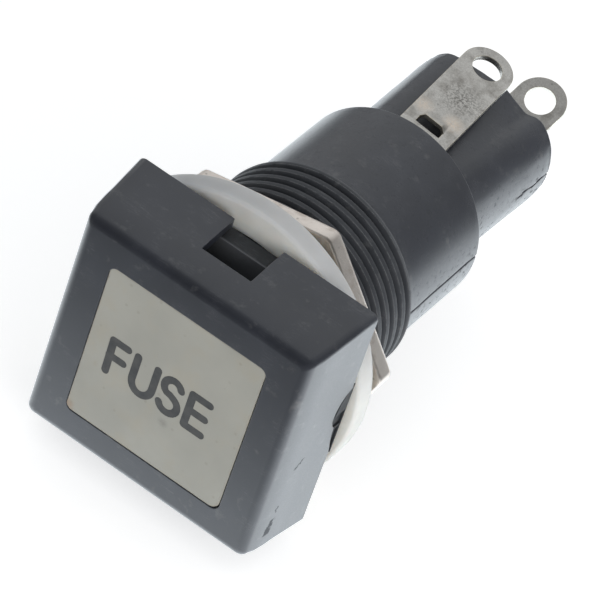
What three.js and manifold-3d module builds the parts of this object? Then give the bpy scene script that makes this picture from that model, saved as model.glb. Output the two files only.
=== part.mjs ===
// Panel-mount cartridge fuse holder with a square pull-out cap, in millimetres.
// The barrel's axis is Y and the label faces -Y. +Z is up and +X is to the right of the label.
// The origin lies on the barrel's axis, on the rear face of the flange, which the panel meets.
import * as THREE from "three";
import { mergeVertices } from "three/addons/utils/BufferGeometryUtils.js";
import Module from "manifold-3d";

const wasm = await Module();
wasm.setup();

// Fuse
const FUSE_DIAMETER = 5.2;
const FUSE_LENGTH = 20;
const FUSE_FRONT = 1.5;
const FUSE_CAP_LENGTH = 5;
const FUSE_CAP_WALL = 0.27;
const FUSE_GLASS_WALL = 0.5;
const FUSE_WIRE_DIAMETER = 0.3;
const FUSE_SOLDER_LENGTH = 0.8;

// Cap and label
const CAP_BACK_WIDTH = 18.2;
const CAP_FRONT_WIDTH = 17.1;
const CAP_DEPTH = 6.35;
const CAP_WALL = 0.7;
const CAP_FRONT_WALL = 1.5;
const CAP_EDGE_RADIUS = 0.7;
const CAP_CORNER_RADIUS = 0.5;
const CAP_LIFT = 0.3;
const LABEL_WIDTH = 11.8;
const LABEL_HEIGHT = 12.15;
const LABEL_THICKNESS = 0.4;
const LABEL_DEPTH = 0.05;
const LABEL_DROP = 0.08;
const LABEL_CORNER = 0.6;
const NOTCH_WIDTH = 3.7;
const NOTCH_LENGTH = 3.5;
const SCALLOP_WIDTH = 5.1;
const SCALLOP_DEPTH = 0.95;
const SCALLOP_HEIGHT = 0.1;

// Carrier
const CARRIER_WALL = 0.95;
const CARRIER_END = 12;
const HEAD_THICKNESS = 1.3;
const HEAD_MARGIN = 0.7;
const CATCH_HEIGHT = 5;
const CATCH_REACH = 1.2;
const CATCH_THICKNESS = 0.6;
const CLIP_THICKNESS = 0.25;
const CLIP_LENGTH = 4;
const CLIP_GAP_DEG = 50;

// Body
const FLANGE_THICKNESS = 1.4;
const THREAD_DIAMETER = 14.9;
const THREAD_PITCH = 0.92;
const THREAD_DEPTH = 0.6;
const THREAD_LENGTH = 10.45;
const THREAD_LEAD_IN = 0.4;
const SHANK_LENGTH = 8.4;
const SHANK_EDGE = 0.5;
const BLOCK_FRONT_DIAMETER = 10.8;
const BLOCK_REAR_DIAMETER = 11.3;
const BLOCK_FLAT_HEIGHT = 4.3;
const BLOCK_EDGE = 0.2;

// Rear contact, spring and plug
const CUP_WALL = 0.35;
const CUP_FLOOR = 0.7;
const CUP_RIM = 0.7;
const CUP_BOSS_RADIUS = 1.2;
const CUP_BOSS_LENGTH = 1.4;
const SPRING_RADIUS = 1.95;
const SPRING_WIRE = 0.4;
const SPRING_LENGTH = 5.2;
const SPRING_CURLS = 5;
const SEAT_THICKNESS = 0.4;
const PLUG_THICKNESS = 2.05;
const PLUG_WALL = 0.65;
const RIVET_RADIUS = 0.9;
const RIVET_HEAD_RADIUS = 1.45;
const RIVET_HEAD = 0.4;

// Terminals
const STRIP_WIDTH = 3.66;
const STRIP_THICKNESS = 0.45;
const LUG_HOLE_DIAMETER = 2.1;
const SIDE_STRIP_LIFT = 0.35;
const SIDE_HOLE_REACH = 10.7;
const SIDE_LEAN_DEG = 3.2;
const SIDE_RISE_DEG = 2.7;
const SIDE_TWIST_DEG = 9.5;
const SIDE_BEND_DEPTH = 0.6;
const TONGUE_WIDTH = 2.6;
const TONGUE_RUN = 5.4;
const TONGUE_TIP_Y = 4.6;
const TONGUE_FLARE = 1.2;
const TAB_WIDTH = 1.85;
const TAB_LENGTH = 1.2;
const TAB_WINDOW = 0.55;
const TAB_RISE = 0.3;
const TAB_REACH = 3.35;
const REAR_LUG_DROP = 4.3;
const REAR_LUG_RISE_DEG = 22.4;
const REAR_LUG_LEAN_DEG = 6.3;
const REAR_LUG_TWIST_DEG = 4.3;
const REAR_HOLE_REACH = 7.8;

// Washer and nut
const WASHER_MARGIN = 0.37;
const WASHER_THICKNESS = 1.6;
const WASHER_SHIFT = 0.55;
const WASHER_DROP = 0.2;
const NUT_WALL = 1.05;
const NUT_THICKNESS = 1.5;
const NUT_GAP = 0.75;
const NUT_TURN_DEG = 71;
const NUT_CHAMFER = 0.25;

// Clearances
const SEAT_GAP = 0.05;
const CLOSE_GAP = 0.1;
const WASHER_GAP = 0.2;
const FREE_GAP = 0.3;
const SLIDE_GAP = 0.35;
const CUT_PAST = 1;

// Facets
const ROUND = 48;
const SMALL_ROUND = 24;
const WIRE_SIDES = 6;
const CURL_STEPS = 8;
const CURL_SIDES = 5;
const CORNER_STEPS = 3;
const EDGE_STEPS = 3;

const degrees = Math.PI / 180;

// A geometry as a solid that faces outwards.
function solidOf(geometry) {
  const bare = new THREE.BufferGeometry();
  bare.setAttribute("position", geometry.getAttribute("position"));
  if (geometry.index) bare.setIndex(geometry.index);
  const merged = mergeVertices(bare, 1e-4);
  const p = merged.getAttribute("position");
  const triangles = [];
  let volume = 0;
  for (let i = 0; i < merged.index.count; i += 3) {
    const corners = [0, 1, 2].map((k) => merged.index.getX(i + k));
    if (new Set(corners).size < 3) continue;
    triangles.push(corners);
    const [a, b, c] = corners.map((v) => new THREE.Vector3().fromBufferAttribute(p, v));
    volume += a.dot(b.cross(c));
  }
  if (volume < 0) triangles.forEach((t) => t.reverse());
  const vertProperties = new Float32Array(p.array);
  const triVerts = new Uint32Array(triangles.flat());
  return new wasm.Manifold(new wasm.Mesh({ numProp: 3, vertProperties, triVerts }));
}

function geometryOf(solid) {
  const mesh = solid.getMesh();
  const stride = mesh.numProp;
  const points = new Float32Array(mesh.numVert * 3);
  for (let i = 0; i < mesh.numVert; i++) {
    points.set(mesh.vertProperties.subarray(i * stride, i * stride + 3), i * 3);
  }
  const geometry = new THREE.BufferGeometry();
  geometry.setAttribute("position", new THREE.BufferAttribute(points, 3));
  geometry.setIndex(new THREE.BufferAttribute(new Uint32Array(mesh.triVerts), 1));
  geometry.computeVertexNormals();
  return geometry;
}

// A profile of [radius, y] points turned about the Y axis.
function turned(profile, segments = ROUND) {
  const points = profile.map(([r, y]) => new THREE.Vector2(r, y));
  return solidOf(new THREE.LatheGeometry(points, segments));
}

function rod(radius, from, to, segments = ROUND) {
  return turned([[0, from], [radius, from], [radius, to], [0, to]], segments);
}

function tube(inner, outer, from, to, segments = ROUND) {
  const profile = [[inner, from], [outer, from], [outer, to], [inner, to], [inner, from]];
  return turned(profile, segments);
}

function block([x0, x1], [y0, y1], [z0, z1]) {
  const geometry = new THREE.BoxGeometry(x1 - x0, y1 - y0, z1 - z0);
  geometry.translate((x0 + x1) / 2, (y0 + y1) / 2, (z0 + z1) / 2);
  return solidOf(geometry);
}

// Rounded rectangles stacked along Y, each { y, halfX, halfZ, corner }, centred at height z.
function stacked(sections, z = 0) {
  const positions = [];
  const index = [];
  const quarters = [[1, 1], [-1, 1], [-1, -1], [1, -1]];
  const ring = 4 * (CORNER_STEPS + 1);
  for (const s of sections) {
    quarters.forEach(([sx, sz], quarter) => {
      for (let k = 0; k <= CORNER_STEPS; k++) {
        const angle = (quarter + k / CORNER_STEPS) * 90 * degrees;
        positions.push(
          sx * (s.halfX - s.corner) + s.corner * Math.cos(angle),
          s.y,
          z + sz * (s.halfZ - s.corner) + s.corner * Math.sin(angle),
        );
      }
    });
  }
  const last = sections.length - 1;
  positions.push(0, sections[0].y, z, 0, sections[last].y, z);
  const first = sections.length * ring;
  for (let k = 0; k < ring; k++) {
    const next = (k + 1) % ring;
    for (let s = 0; s < last; s++) {
      const a = s * ring;
      const b = a + ring;
      index.push(a + k, a + next, b + k, a + next, b + next, b + k);
    }
    index.push(first, next, k);
    index.push(first + 1, last * ring + k, last * ring + next);
  }
  const geometry = new THREE.BufferGeometry();
  geometry.setAttribute("position", new THREE.Float32BufferAttribute(positions, 3));
  geometry.setIndex(index);
  return solidOf(geometry);
}

const axisX = new THREE.Vector3(1, 0, 0);
const axisY = new THREE.Vector3(0, 1, 0);
const axisZ = new THREE.Vector3(0, 0, 1);

function extruded(shape, depth, segments) {
  return new THREE.ExtrudeGeometry(shape, { depth, bevelEnabled: false, curveSegments: segments });
}

// An outline of [y, z] points, as thick as the given width across X.
function acrossX(outline, width) {
  const shape = new THREE.Shape(outline.map(([y, z]) => new THREE.Vector2(y, z)));
  const geometry = extruded(shape, width, SMALL_ROUND);
  geometry.applyMatrix4(new THREE.Matrix4().makeBasis(axisY, axisZ, axisX));
  geometry.translate(-width / 2, 0, 0);
  return solidOf(geometry);
}

// The crest and root of the thread as one winding surface about Y, root first.
function threaded(crest, root, pitch, from, turns) {
  const rows = 2 * turns;
  const positions = [];
  const ids = [];
  for (let i = 0; i <= ROUND; i++) {
    ids.push([]);
    const angle = (i / ROUND) * 2 * Math.PI;
    for (let j = 0; j <= rows; j++) {
      if (i === ROUND && j + 2 <= rows) {
        ids[i].push(ids[0][j + 2]);
        continue;
      }
      const radius = j % 2 ? crest : root;
      ids[i].push(positions.length / 3);
      positions.push(
        radius * Math.sin(angle),
        from + pitch * (j / 2 + i / ROUND),
        radius * Math.cos(angle),
      );
    }
  }
  const low = positions.length / 3;
  positions.push(0, from + pitch / 2, 0, 0, from + pitch * (turns + 0.5), 0);
  const index = [];
  for (let i = 0; i < ROUND; i++) {
    const here = ids[i];
    const next = ids[i + 1];
    for (let j = 0; j < rows; j++) {
      index.push(here[j], next[j], here[j + 1], next[j], next[j + 1], here[j + 1]);
    }
    index.push(low, next[0], here[0], low + 1, here[rows], next[rows]);
  }
  const start = ids[0];
  const end = ids[ROUND];
  index.push(low, start[0], start[1], low, start[1], start[2]);
  index.push(low + 1, end[rows], end[rows - 1], low + 1, end[rows - 1], end[rows - 2]);
  const geometry = new THREE.BufferGeometry();
  geometry.setAttribute("position", new THREE.Float32BufferAttribute(positions, 3));
  geometry.setIndex(index);
  return solidOf(geometry);
}

// A wire wound about Y between two heights, as one unbroken tube.
function wound(radius, wire, from, to, curls) {
  const steps = curls * CURL_STEPS;
  const rise = to - from - wire;
  const positions = [];
  const index = [];
  for (let i = 0; i <= steps; i++) {
    const angle = (i / CURL_STEPS) * 2 * Math.PI;
    const y = from + wire / 2 + (rise * i) / steps;
    for (let k = 0; k < CURL_SIDES; k++) {
      const turn = (k / CURL_SIDES) * 2 * Math.PI;
      const r = radius + (wire / 2) * Math.cos(turn);
      positions.push(r * Math.sin(angle), y + (wire / 2) * Math.sin(turn), r * Math.cos(angle));
    }
  }
  for (let i = 0; i < steps; i++) {
    for (let k = 0; k < CURL_SIDES; k++) {
      const a = i * CURL_SIDES + k;
      const b = i * CURL_SIDES + ((k + 1) % CURL_SIDES);
      index.push(a, b, a + CURL_SIDES, b, b + CURL_SIDES, a + CURL_SIDES);
    }
  }
  const end = steps * CURL_SIDES;
  for (let k = 1; k < CURL_SIDES - 1; k++) {
    index.push(0, k + 1, k, end, end + k, end + k + 1);
  }
  const geometry = new THREE.BufferGeometry();
  geometry.setAttribute("position", new THREE.Float32BufferAttribute(positions, 3));
  geometry.setIndex(index);
  return solidOf(geometry);
}

// A flat strip that lies on z = 0 and runs along +Y to a round end with a solder hole.
function lug(from, holeAt) {
  const half = STRIP_WIDTH / 2;
  const shape = new THREE.Shape();
  shape.moveTo(-half, from);
  shape.lineTo(half, from);
  shape.lineTo(half, holeAt);
  shape.absarc(0, holeAt, half, 0, Math.PI, false);
  shape.lineTo(-half, from);
  const hole = new THREE.Path();
  hole.absarc(0, holeAt, LUG_HOLE_DIAMETER / 2, 0, 2 * Math.PI, true);
  shape.holes.push(hole);
  return solidOf(extruded(shape, STRIP_THICKNESS, SMALL_ROUND / 2));
}

// A solid twisted about Y, raised about X and leaned about Z, in degrees, and then moved.
function placed(solid, { twist = 0, rise = 0, lean = 0 }, offset) {
  const euler = new THREE.Euler(rise * degrees, twist * degrees, lean * degrees, "ZXY");
  const geometry = geometryOf(solid);
  geometry.applyMatrix4(new THREE.Matrix4().makeRotationFromEuler(euler));
  geometry.translate(...offset);
  return solidOf(geometry);
}

const root = new THREE.Group();

function piece(name, solid, color, roughness, metalness) {
  const material = new THREE.MeshStandardMaterial({ color, roughness, metalness });
  const mesh = new THREE.Mesh(geometryOf(solid), material);
  mesh.name = name;
  root.add(mesh);
}

// Radii and heights that follow from the sizes above
const fuseRadius = FUSE_DIAMETER / 2;
const clipInner = fuseRadius + CLOSE_GAP;
const clipOuter = clipInner + CLIP_THICKNESS;
const carrierInner = clipOuter + CLOSE_GAP;
const carrierRadius = carrierInner + CARRIER_WALL;
const boreRadius = carrierRadius + SLIDE_GAP;
const cupInner = fuseRadius + 1.5 * CLOSE_GAP;
const cupRadius = cupInner + CUP_WALL;
const chamberRadius = cupRadius + SLIDE_GAP;
const fuseEnd = FUSE_FRONT + FUSE_LENGTH;
const cupFront = fuseEnd + SEAT_GAP;
const cupBack = cupFront + CUP_FLOOR;
const seatFront = cupBack + SPRING_LENGTH + 2 * SEAT_GAP;
const seatBack = seatFront + SEAT_THICKNESS;
const plugFront = seatBack + SEAT_GAP;
const bodyEnd = plugFront + PLUG_THICKNESS;
const threadCrest = THREAD_DIAMETER / 2;
const threadRoot = threadCrest - THREAD_DEPTH;
const shankEnd = THREAD_LENGTH + SHANK_LENGTH;
const blockFrontRadius = BLOCK_FRONT_DIAMETER / 2;
const blockRearRadius = BLOCK_REAR_DIAMETER / 2;
const plugPocket = BLOCK_FLAT_HEIGHT - PLUG_WALL;
const stripLow = BLOCK_FLAT_HEIGHT + SIDE_STRIP_LIFT;
const stripHigh = stripLow + STRIP_THICKNESS;
const slotHigh = stripHigh + SIDE_STRIP_LIFT;
const slotHalf = STRIP_WIDTH / 2 + FREE_GAP / 2;
const tongueLow = clipOuter + CLOSE_GAP;
const tongueStart = TONGUE_TIP_Y + TONGUE_RUN;

// Body: flange, threaded barrel, smooth shank and rear block in one moulding
const capSkirt = -CAP_LIFT;
const capFace = capSkirt - CAP_DEPTH;
const capBackHalf = CAP_BACK_WIDTH / 2;
const capFrontHalf = CAP_FRONT_WIDTH / 2;
const skirtInner = capBackHalf - CAP_WALL;
const flangeHalf = skirtInner - FREE_GAP;
const threadTurns = Math.ceil(THREAD_LENGTH / THREAD_PITCH) + 3;
const leadIn = THREAD_DEPTH + 2 * SEAT_GAP;
const threadEnvelope = turned([
  [0, -SEAT_GAP],
  [threadCrest + CUT_PAST, -SEAT_GAP],
  [threadCrest + CUT_PAST, THREAD_LENGTH - THREAD_LEAD_IN],
  [threadCrest, THREAD_LENGTH - THREAD_LEAD_IN],
  [threadCrest - leadIn, THREAD_LENGTH],
  [0, THREAD_LENGTH],
]);
const barrel = threaded(
  threadCrest,
  threadRoot,
  THREAD_PITCH,
  -2 * THREAD_PITCH,
  threadTurns,
).intersect(threadEnvelope);
const shankRadius = threadRoot + SEAT_GAP;
const shankEdge = [];
for (let k = 0; k <= EDGE_STEPS; k++) {
  const angle = (k / EDGE_STEPS) * 90 * degrees;
  const radius = shankRadius - SHANK_EDGE * (1 - Math.cos(angle));
  shankEdge.push([radius, shankEnd - SHANK_EDGE * (1 - Math.sin(angle))]);
}
const shank = turned([
  [0, THREAD_LENGTH - THREAD_LEAD_IN],
  [shankRadius, THREAD_LENGTH - THREAD_LEAD_IN],
  ...shankEdge,
  [0, shankEnd],
]);
const rearBlock = turned([
  [0, shankEnd - CUT_PAST],
  [blockFrontRadius, shankEnd - CUT_PAST],
  [blockRearRadius, bodyEnd - BLOCK_EDGE],
  [blockRearRadius - BLOCK_EDGE, bodyEnd],
  [0, bodyEnd],
]).subtract(
  block(
    [-2 * blockRearRadius, 2 * blockRearRadius],
    [shankEnd, bodyEnd + CUT_PAST],
    [BLOCK_FLAT_HEIGHT, 2 * blockRearRadius],
  ),
);
const scallopRadius = (SCALLOP_WIDTH ** 2 / 4 + SCALLOP_DEPTH ** 2) / (2 * SCALLOP_DEPTH);
const scallopCentre = [0, capSkirt - SCALLOP_DEPTH + scallopRadius, SCALLOP_HEIGHT];
const scallopKey = placed(
  rod(scallopRadius - CLOSE_GAP, flangeHalf - CUT_PAST, capBackHalf - SEAT_GAP, SMALL_ROUND),
  { lean: -90 },
  scallopCentre,
).intersect(
  block([0, capBackHalf], [-FLANGE_THICKNESS, 0], [-capBackHalf, capBackHalf]),
);
const flange = stacked([
  { y: -FLANGE_THICKNESS, halfX: flangeHalf, halfZ: flangeHalf, corner: CAP_CORNER_RADIUS },
  { y: 0, halfX: flangeHalf, halfZ: flangeHalf, corner: CAP_CORNER_RADIUS },
]);
const bore = turned([
  [0, -FLANGE_THICKNESS - CUT_PAST],
  [boreRadius, -FLANGE_THICKNESS - CUT_PAST],
  [boreRadius, CARRIER_END + CUT_PAST],
  [chamberRadius, CARRIER_END + CUT_PAST],
  [chamberRadius, plugFront - SEAT_GAP],
  [plugPocket, plugFront - SEAT_GAP],
  [plugPocket, bodyEnd + CUT_PAST],
  [0, bodyEnd + CUT_PAST],
]);
const tongueSlot = block(
  [-slotHalf, slotHalf],
  [TONGUE_TIP_Y - TONGUE_FLARE - FREE_GAP, CARRIER_END],
  [tongueLow - FREE_GAP, slotHigh],
);
const stripSlot = block(
  [-slotHalf, slotHalf],
  [CARRIER_END - CUT_PAST, shankEnd + SEAT_GAP],
  [BLOCK_FLAT_HEIGHT, slotHigh],
);
const body = flange
  .add(scallopKey)
  .add(barrel)
  .add(shank)
  .add(rearBlock)
  .subtract(bore)
  .subtract(tongueSlot)
  .subtract(stripSlot);
piece("holder_body", body, 0x3a3c40, 0.55, 0);

// Cap: a tapered square shell with a label pocket, a pry notch above and a scallop on the right
const edgeSections = [];
for (let k = 0; k <= EDGE_STEPS; k++) {
  const angle = (k / EDGE_STEPS) * 90 * degrees;
  const inset = CAP_EDGE_RADIUS * (1 - Math.sin(angle));
  const half = capFrontHalf - inset;
  const y = capFace + CAP_EDGE_RADIUS * (1 - Math.cos(angle));
  const corner = CAP_CORNER_RADIUS - inset / 3;
  edgeSections.push({ y, halfX: half, halfZ: half, corner });
}
const capOuter = stacked([
  ...edgeSections,
  { y: capSkirt, halfX: capBackHalf, halfZ: capBackHalf, corner: CAP_CORNER_RADIUS },
]);
const cavityFront = capFace + CAP_FRONT_WALL;
const cavityFrontHalf = capFrontHalf - CAP_WALL;
const capCavity = stacked([
  { y: cavityFront, halfX: cavityFrontHalf, halfZ: cavityFrontHalf, corner: CAP_CORNER_RADIUS / 2 },
  { y: capSkirt, halfX: skirtInner, halfZ: skirtInner, corner: CAP_CORNER_RADIUS / 2 },
  { y: capSkirt + CUT_PAST, halfX: skirtInner, halfZ: skirtInner, corner: CAP_CORNER_RADIUS / 2 },
]);
const pocketFloor = capFace + LABEL_DEPTH + LABEL_THICKNESS + SEAT_GAP;
const pocketHalfX = LABEL_WIDTH / 2 + CLOSE_GAP;
const pocketHalfZ = LABEL_HEIGHT / 2 + CLOSE_GAP;
const labelPocket = stacked(
  [
    { y: capFace - CUT_PAST, halfX: pocketHalfX, halfZ: pocketHalfZ, corner: LABEL_CORNER },
    { y: pocketFloor, halfX: pocketHalfX, halfZ: pocketHalfZ, corner: LABEL_CORNER },
  ],
  -LABEL_DROP,
);
const pryNotch = block(
  [-NOTCH_WIDTH / 2, NOTCH_WIDTH / 2],
  [capSkirt - NOTCH_LENGTH, capSkirt + CUT_PAST],
  [cavityFrontHalf - CUT_PAST, capBackHalf + CUT_PAST],
);
const scallop = placed(
  rod(scallopRadius, cavityFrontHalf - CUT_PAST, capBackHalf + CUT_PAST, SMALL_ROUND),
  { lean: -90 },
  scallopCentre,
);
const headFront = cavityFront + SEAT_GAP;
const headBack = headFront + HEAD_THICKNESS;
const headHalf = cavityFrontHalf - HEAD_MARGIN;
const catchFront = headBack + SEAT_GAP;
const catches = [-1, 1].map((side) => {
  const reach = [headHalf - CATCH_REACH, skirtInner];
  return block(
    side < 0 ? [-reach[1], -reach[0]] : reach,
    [catchFront, catchFront + CATCH_THICKNESS],
    [-CATCH_HEIGHT / 2, CATCH_HEIGHT / 2],
  );
});
const cap = capOuter
  .subtract(capCavity)
  .add(catches[0])
  .add(catches[1])
  .subtract(labelPocket)
  .subtract(pryNotch)
  .subtract(scallop);
piece("cap_shell", cap, 0x45484d, 0.45, 0);

const labelFront = capFace + LABEL_DEPTH;
const labelHalves = { halfX: LABEL_WIDTH / 2, halfZ: LABEL_HEIGHT / 2 };
const label = stacked(
  [
    { y: labelFront, ...labelHalves, corner: LABEL_CORNER },
    { y: labelFront + LABEL_THICKNESS, ...labelHalves, corner: LABEL_CORNER },
  ],
  -LABEL_DROP,
);
piece("label_plate", label, 0xa8a79d, 0.5, 0);

// Carrier: a square head behind the cap's face and a stem with a blind bore for the fuse
const carrierHead = stacked([
  { y: headFront, halfX: headHalf, halfZ: headHalf, corner: CAP_CORNER_RADIUS },
  { y: headBack, halfX: headHalf, halfZ: headHalf, corner: CAP_CORNER_RADIUS },
]);
const carrierFloor = FUSE_FRONT - SEAT_GAP;
const stemHoles = rod(carrierInner, carrierFloor, CARRIER_END + CUT_PAST);
const contactSlot = block(
  [-TONGUE_WIDTH / 2 - FREE_GAP, TONGUE_WIDTH / 2 + FREE_GAP],
  [TONGUE_TIP_Y - TONGUE_FLARE - FREE_GAP, CARRIER_END + CUT_PAST],
  [0, carrierRadius + CUT_PAST],
);
const carrier = carrierHead
  .add(rod(carrierRadius, headBack - HEAD_THICKNESS / 2, CARRIER_END))
  .subtract(stemHoles)
  .subtract(contactSlot);
piece("fuse_carrier", carrier, 0x2e3034, 0.6, 0);

// Clip: a split spring sleeve round the fuse's front cap, open below
const clipShape = new THREE.Shape();
const gapHalf = (CLIP_GAP_DEG / 2) * degrees;
const clipStart = -Math.PI / 2 + gapHalf;
const clipEnd = (3 * Math.PI) / 2 - gapHalf;
clipShape.absarc(0, 0, clipOuter, clipStart, clipEnd, false);
clipShape.absarc(0, 0, clipInner, clipEnd, clipStart, true);
clipShape.closePath();
const clipFront = FUSE_FRONT + FREE_GAP;
const clipGeometry = extruded(clipShape, CLIP_LENGTH, SMALL_ROUND);
clipGeometry.applyMatrix4(new THREE.Matrix4().makeBasis(axisX, axisZ, axisY.clone().negate()));
clipGeometry.translate(0, clipFront + CLIP_LENGTH, 0);
piece("fuse_clip", solidOf(clipGeometry), 0xb9a26a, 0.35, 0.9);

// Fuse: two end caps soldered to a wire inside a glass tube
const endCapInner = fuseRadius - FUSE_CAP_WALL;
const glassRadius = endCapInner - SEAT_GAP;
const glassInner = glassRadius - FUSE_GLASS_WALL;
const glassFront = FUSE_FRONT + FUSE_CAP_WALL + SEAT_GAP;
const glassBack = fuseEnd - FUSE_CAP_WALL - SEAT_GAP;
function endCap(closed, open) {
  const inward = Math.sign(open - closed);
  const floor = closed + inward * FUSE_CAP_WALL;
  const profile = [
    [0, closed],
    [fuseRadius, closed],
    [fuseRadius, open],
    [endCapInner, open],
    [endCapInner, floor],
    [0, floor],
  ];
  return turned(profile, SMALL_ROUND);
}
const glass = tube(glassInner, glassRadius, glassFront, glassBack, SMALL_ROUND);
piece("fuse_glass_tube", glass, 0xdfe6e6, 0.08, 0);
piece("fuse_front_cap", endCap(FUSE_FRONT, FUSE_FRONT + FUSE_CAP_LENGTH), 0xc4c4c2, 0.25, 1);
piece("fuse_rear_cap", endCap(fuseEnd, fuseEnd - FUSE_CAP_LENGTH), 0xc4c4c2, 0.25, 1);
const solderRadius = glassInner - CLOSE_GAP;
function solder(base, tip) {
  return turned([[0, base], [solderRadius, base], [solderRadius / 3, tip], [0, tip]], SMALL_ROUND / 2);
}
const solderFront = glassFront;
const solderBack = glassBack;
const wireFront = solderFront + FUSE_SOLDER_LENGTH + SEAT_GAP;
const wireBack = solderBack - FUSE_SOLDER_LENGTH - SEAT_GAP;
piece("fuse_front_solder", solder(solderFront, solderFront + FUSE_SOLDER_LENGTH), 0x9c9ca0, 0.4, 0.9);
piece("fuse_rear_solder", solder(solderBack, solderBack - FUSE_SOLDER_LENGTH), 0x9c9ca0, 0.4, 0.9);
piece("fuse_wire", rod(FUSE_WIRE_DIAMETER / 2, wireFront, wireBack, WIRE_SIDES), 0xbfbfc4, 0.3, 1);

// Side terminal: a strip on the block's flat, with a contact tongue inside the barrel
const tongueTip = TONGUE_TIP_Y - TONGUE_FLARE;
const flareRise = TONGUE_FLARE / 2;
const bendAt = shankEnd - SIDE_BEND_DEPTH;
const stripOverlap = SIDE_BEND_DEPTH / 2;
const stripSide = [
  [tongueTip, tongueLow + flareRise],
  [TONGUE_TIP_Y, tongueLow],
  [tongueStart, stripLow],
  [bendAt + stripOverlap, stripLow],
  [bendAt + stripOverlap, stripHigh],
  [tongueStart, stripHigh],
  [TONGUE_TIP_Y, tongueLow + STRIP_THICKNESS],
  [tongueTip, tongueLow + flareRise + STRIP_THICKNESS],
];
const shoulders = block(
  [-STRIP_WIDTH / 2, STRIP_WIDTH / 2],
  [tongueStart, shankEnd],
  [0, 2 * stripHigh],
);
const tongueBand = block(
  [-TONGUE_WIDTH / 2, TONGUE_WIDTH / 2],
  [0, shankEnd],
  [0, 2 * stripHigh],
);
const innerStrip = acrossX(stripSide, STRIP_WIDTH).intersect(shoulders.add(tongueBand));
const tabFront = TAB_REACH;
const tabBack = tabFront + TAB_LENGTH;
const window = block(
  [-TAB_WIDTH / 2, TAB_WIDTH / 2],
  [tabFront - TAB_WINDOW, tabFront],
  [-CUT_PAST, CUT_PAST],
);
const tab = acrossX(
  [
    [tabFront, STRIP_THICKNESS / 2],
    [tabBack, STRIP_THICKNESS / 2],
    [tabBack, STRIP_THICKNESS],
    [tabFront, STRIP_THICKNESS + TAB_RISE],
  ],
  TAB_WIDTH,
);
const outerStrip = placed(
  lug(0, SIDE_HOLE_REACH).subtract(window).add(tab),
  { twist: SIDE_TWIST_DEG, rise: SIDE_RISE_DEG, lean: SIDE_LEAN_DEG },
  [0, bendAt, stripLow],
);
piece("side_terminal", innerStrip.add(outerStrip), 0xb9b8b4, 0.4, 0.85);

// Rear terminal: a riveted foot across the plug and a lug bent back from its lower edge
const footFront = bodyEnd + SEAT_GAP;
const footBack = footFront + STRIP_THICKNESS;
const footHigh = RIVET_HEAD_RADIUS + FREE_GAP;
const foot = block(
  [-STRIP_WIDTH / 2, STRIP_WIDTH / 2],
  [footFront, footBack],
  [-REAR_LUG_DROP, footHigh],
).subtract(rod(RIVET_RADIUS + CLOSE_GAP, footFront - CUT_PAST, footBack + CUT_PAST, SMALL_ROUND));
const rearLug = placed(
  lug(0, REAR_HOLE_REACH),
  { twist: REAR_LUG_TWIST_DEG, rise: REAR_LUG_RISE_DEG, lean: -REAR_LUG_LEAN_DEG },
  [0, footFront + STRIP_THICKNESS / 4, -REAR_LUG_DROP - STRIP_THICKNESS / 2],
).subtract(
  block([-STRIP_WIDTH, STRIP_WIDTH], [footFront - CUT_PAST, footFront], [-2 * REAR_LUG_DROP, 0]),
);
piece("rear_terminal", foot.add(rearLug), 0xb9b8b4, 0.4, 0.85);

// Rear plug, rivet, spring seat, spring and contact cup
const plug = tube(RIVET_RADIUS + CLOSE_GAP, plugPocket - CLOSE_GAP, plugFront, bodyEnd);
piece("rear_plug", plug, 0x5a4436, 0.7, 0);
const rivetInner = seatFront - SEAT_GAP;
const rivetOuter = footBack + SEAT_GAP;
const rivet = turned(
  [
    [0, rivetInner - RIVET_HEAD],
    [RIVET_HEAD_RADIUS, rivetInner - RIVET_HEAD],
    [RIVET_HEAD_RADIUS, rivetInner],
    [RIVET_RADIUS, rivetInner],
    [RIVET_RADIUS, rivetOuter],
    [RIVET_HEAD_RADIUS, rivetOuter],
    [RIVET_HEAD_RADIUS - RIVET_HEAD / 2, rivetOuter + RIVET_HEAD],
    [0, rivetOuter + RIVET_HEAD],
  ],
  SMALL_ROUND,
);
piece("rear_rivet", rivet, 0xb59a5c, 0.4, 0.9);
const seatRadius = chamberRadius - CLOSE_GAP;
const seat = tube(RIVET_RADIUS + CLOSE_GAP, seatRadius, seatFront, seatBack, SMALL_ROUND);
piece("spring_seat", seat, 0xb59a5c, 0.4, 0.9);
const springSolid = wound(
  SPRING_RADIUS,
  SPRING_WIRE,
  cupBack + SEAT_GAP,
  seatFront - SEAT_GAP,
  SPRING_CURLS,
);
piece("contact_spring", springSolid, 0xb4b6b8, 0.3, 1);
const cup = turned(
  [
    [0, cupFront],
    [cupInner, cupFront],
    [cupInner, cupFront - CUP_RIM],
    [cupRadius, cupFront - CUP_RIM],
    [cupRadius, cupBack],
    [CUP_BOSS_RADIUS, cupBack],
    [CUP_BOSS_RADIUS, cupBack + CUP_BOSS_LENGTH],
    [0, cupBack + CUP_BOSS_LENGTH],
  ],
  SMALL_ROUND,
);
piece("rear_contact_cup", cup, 0xb9a26a, 0.35, 0.9);

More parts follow.
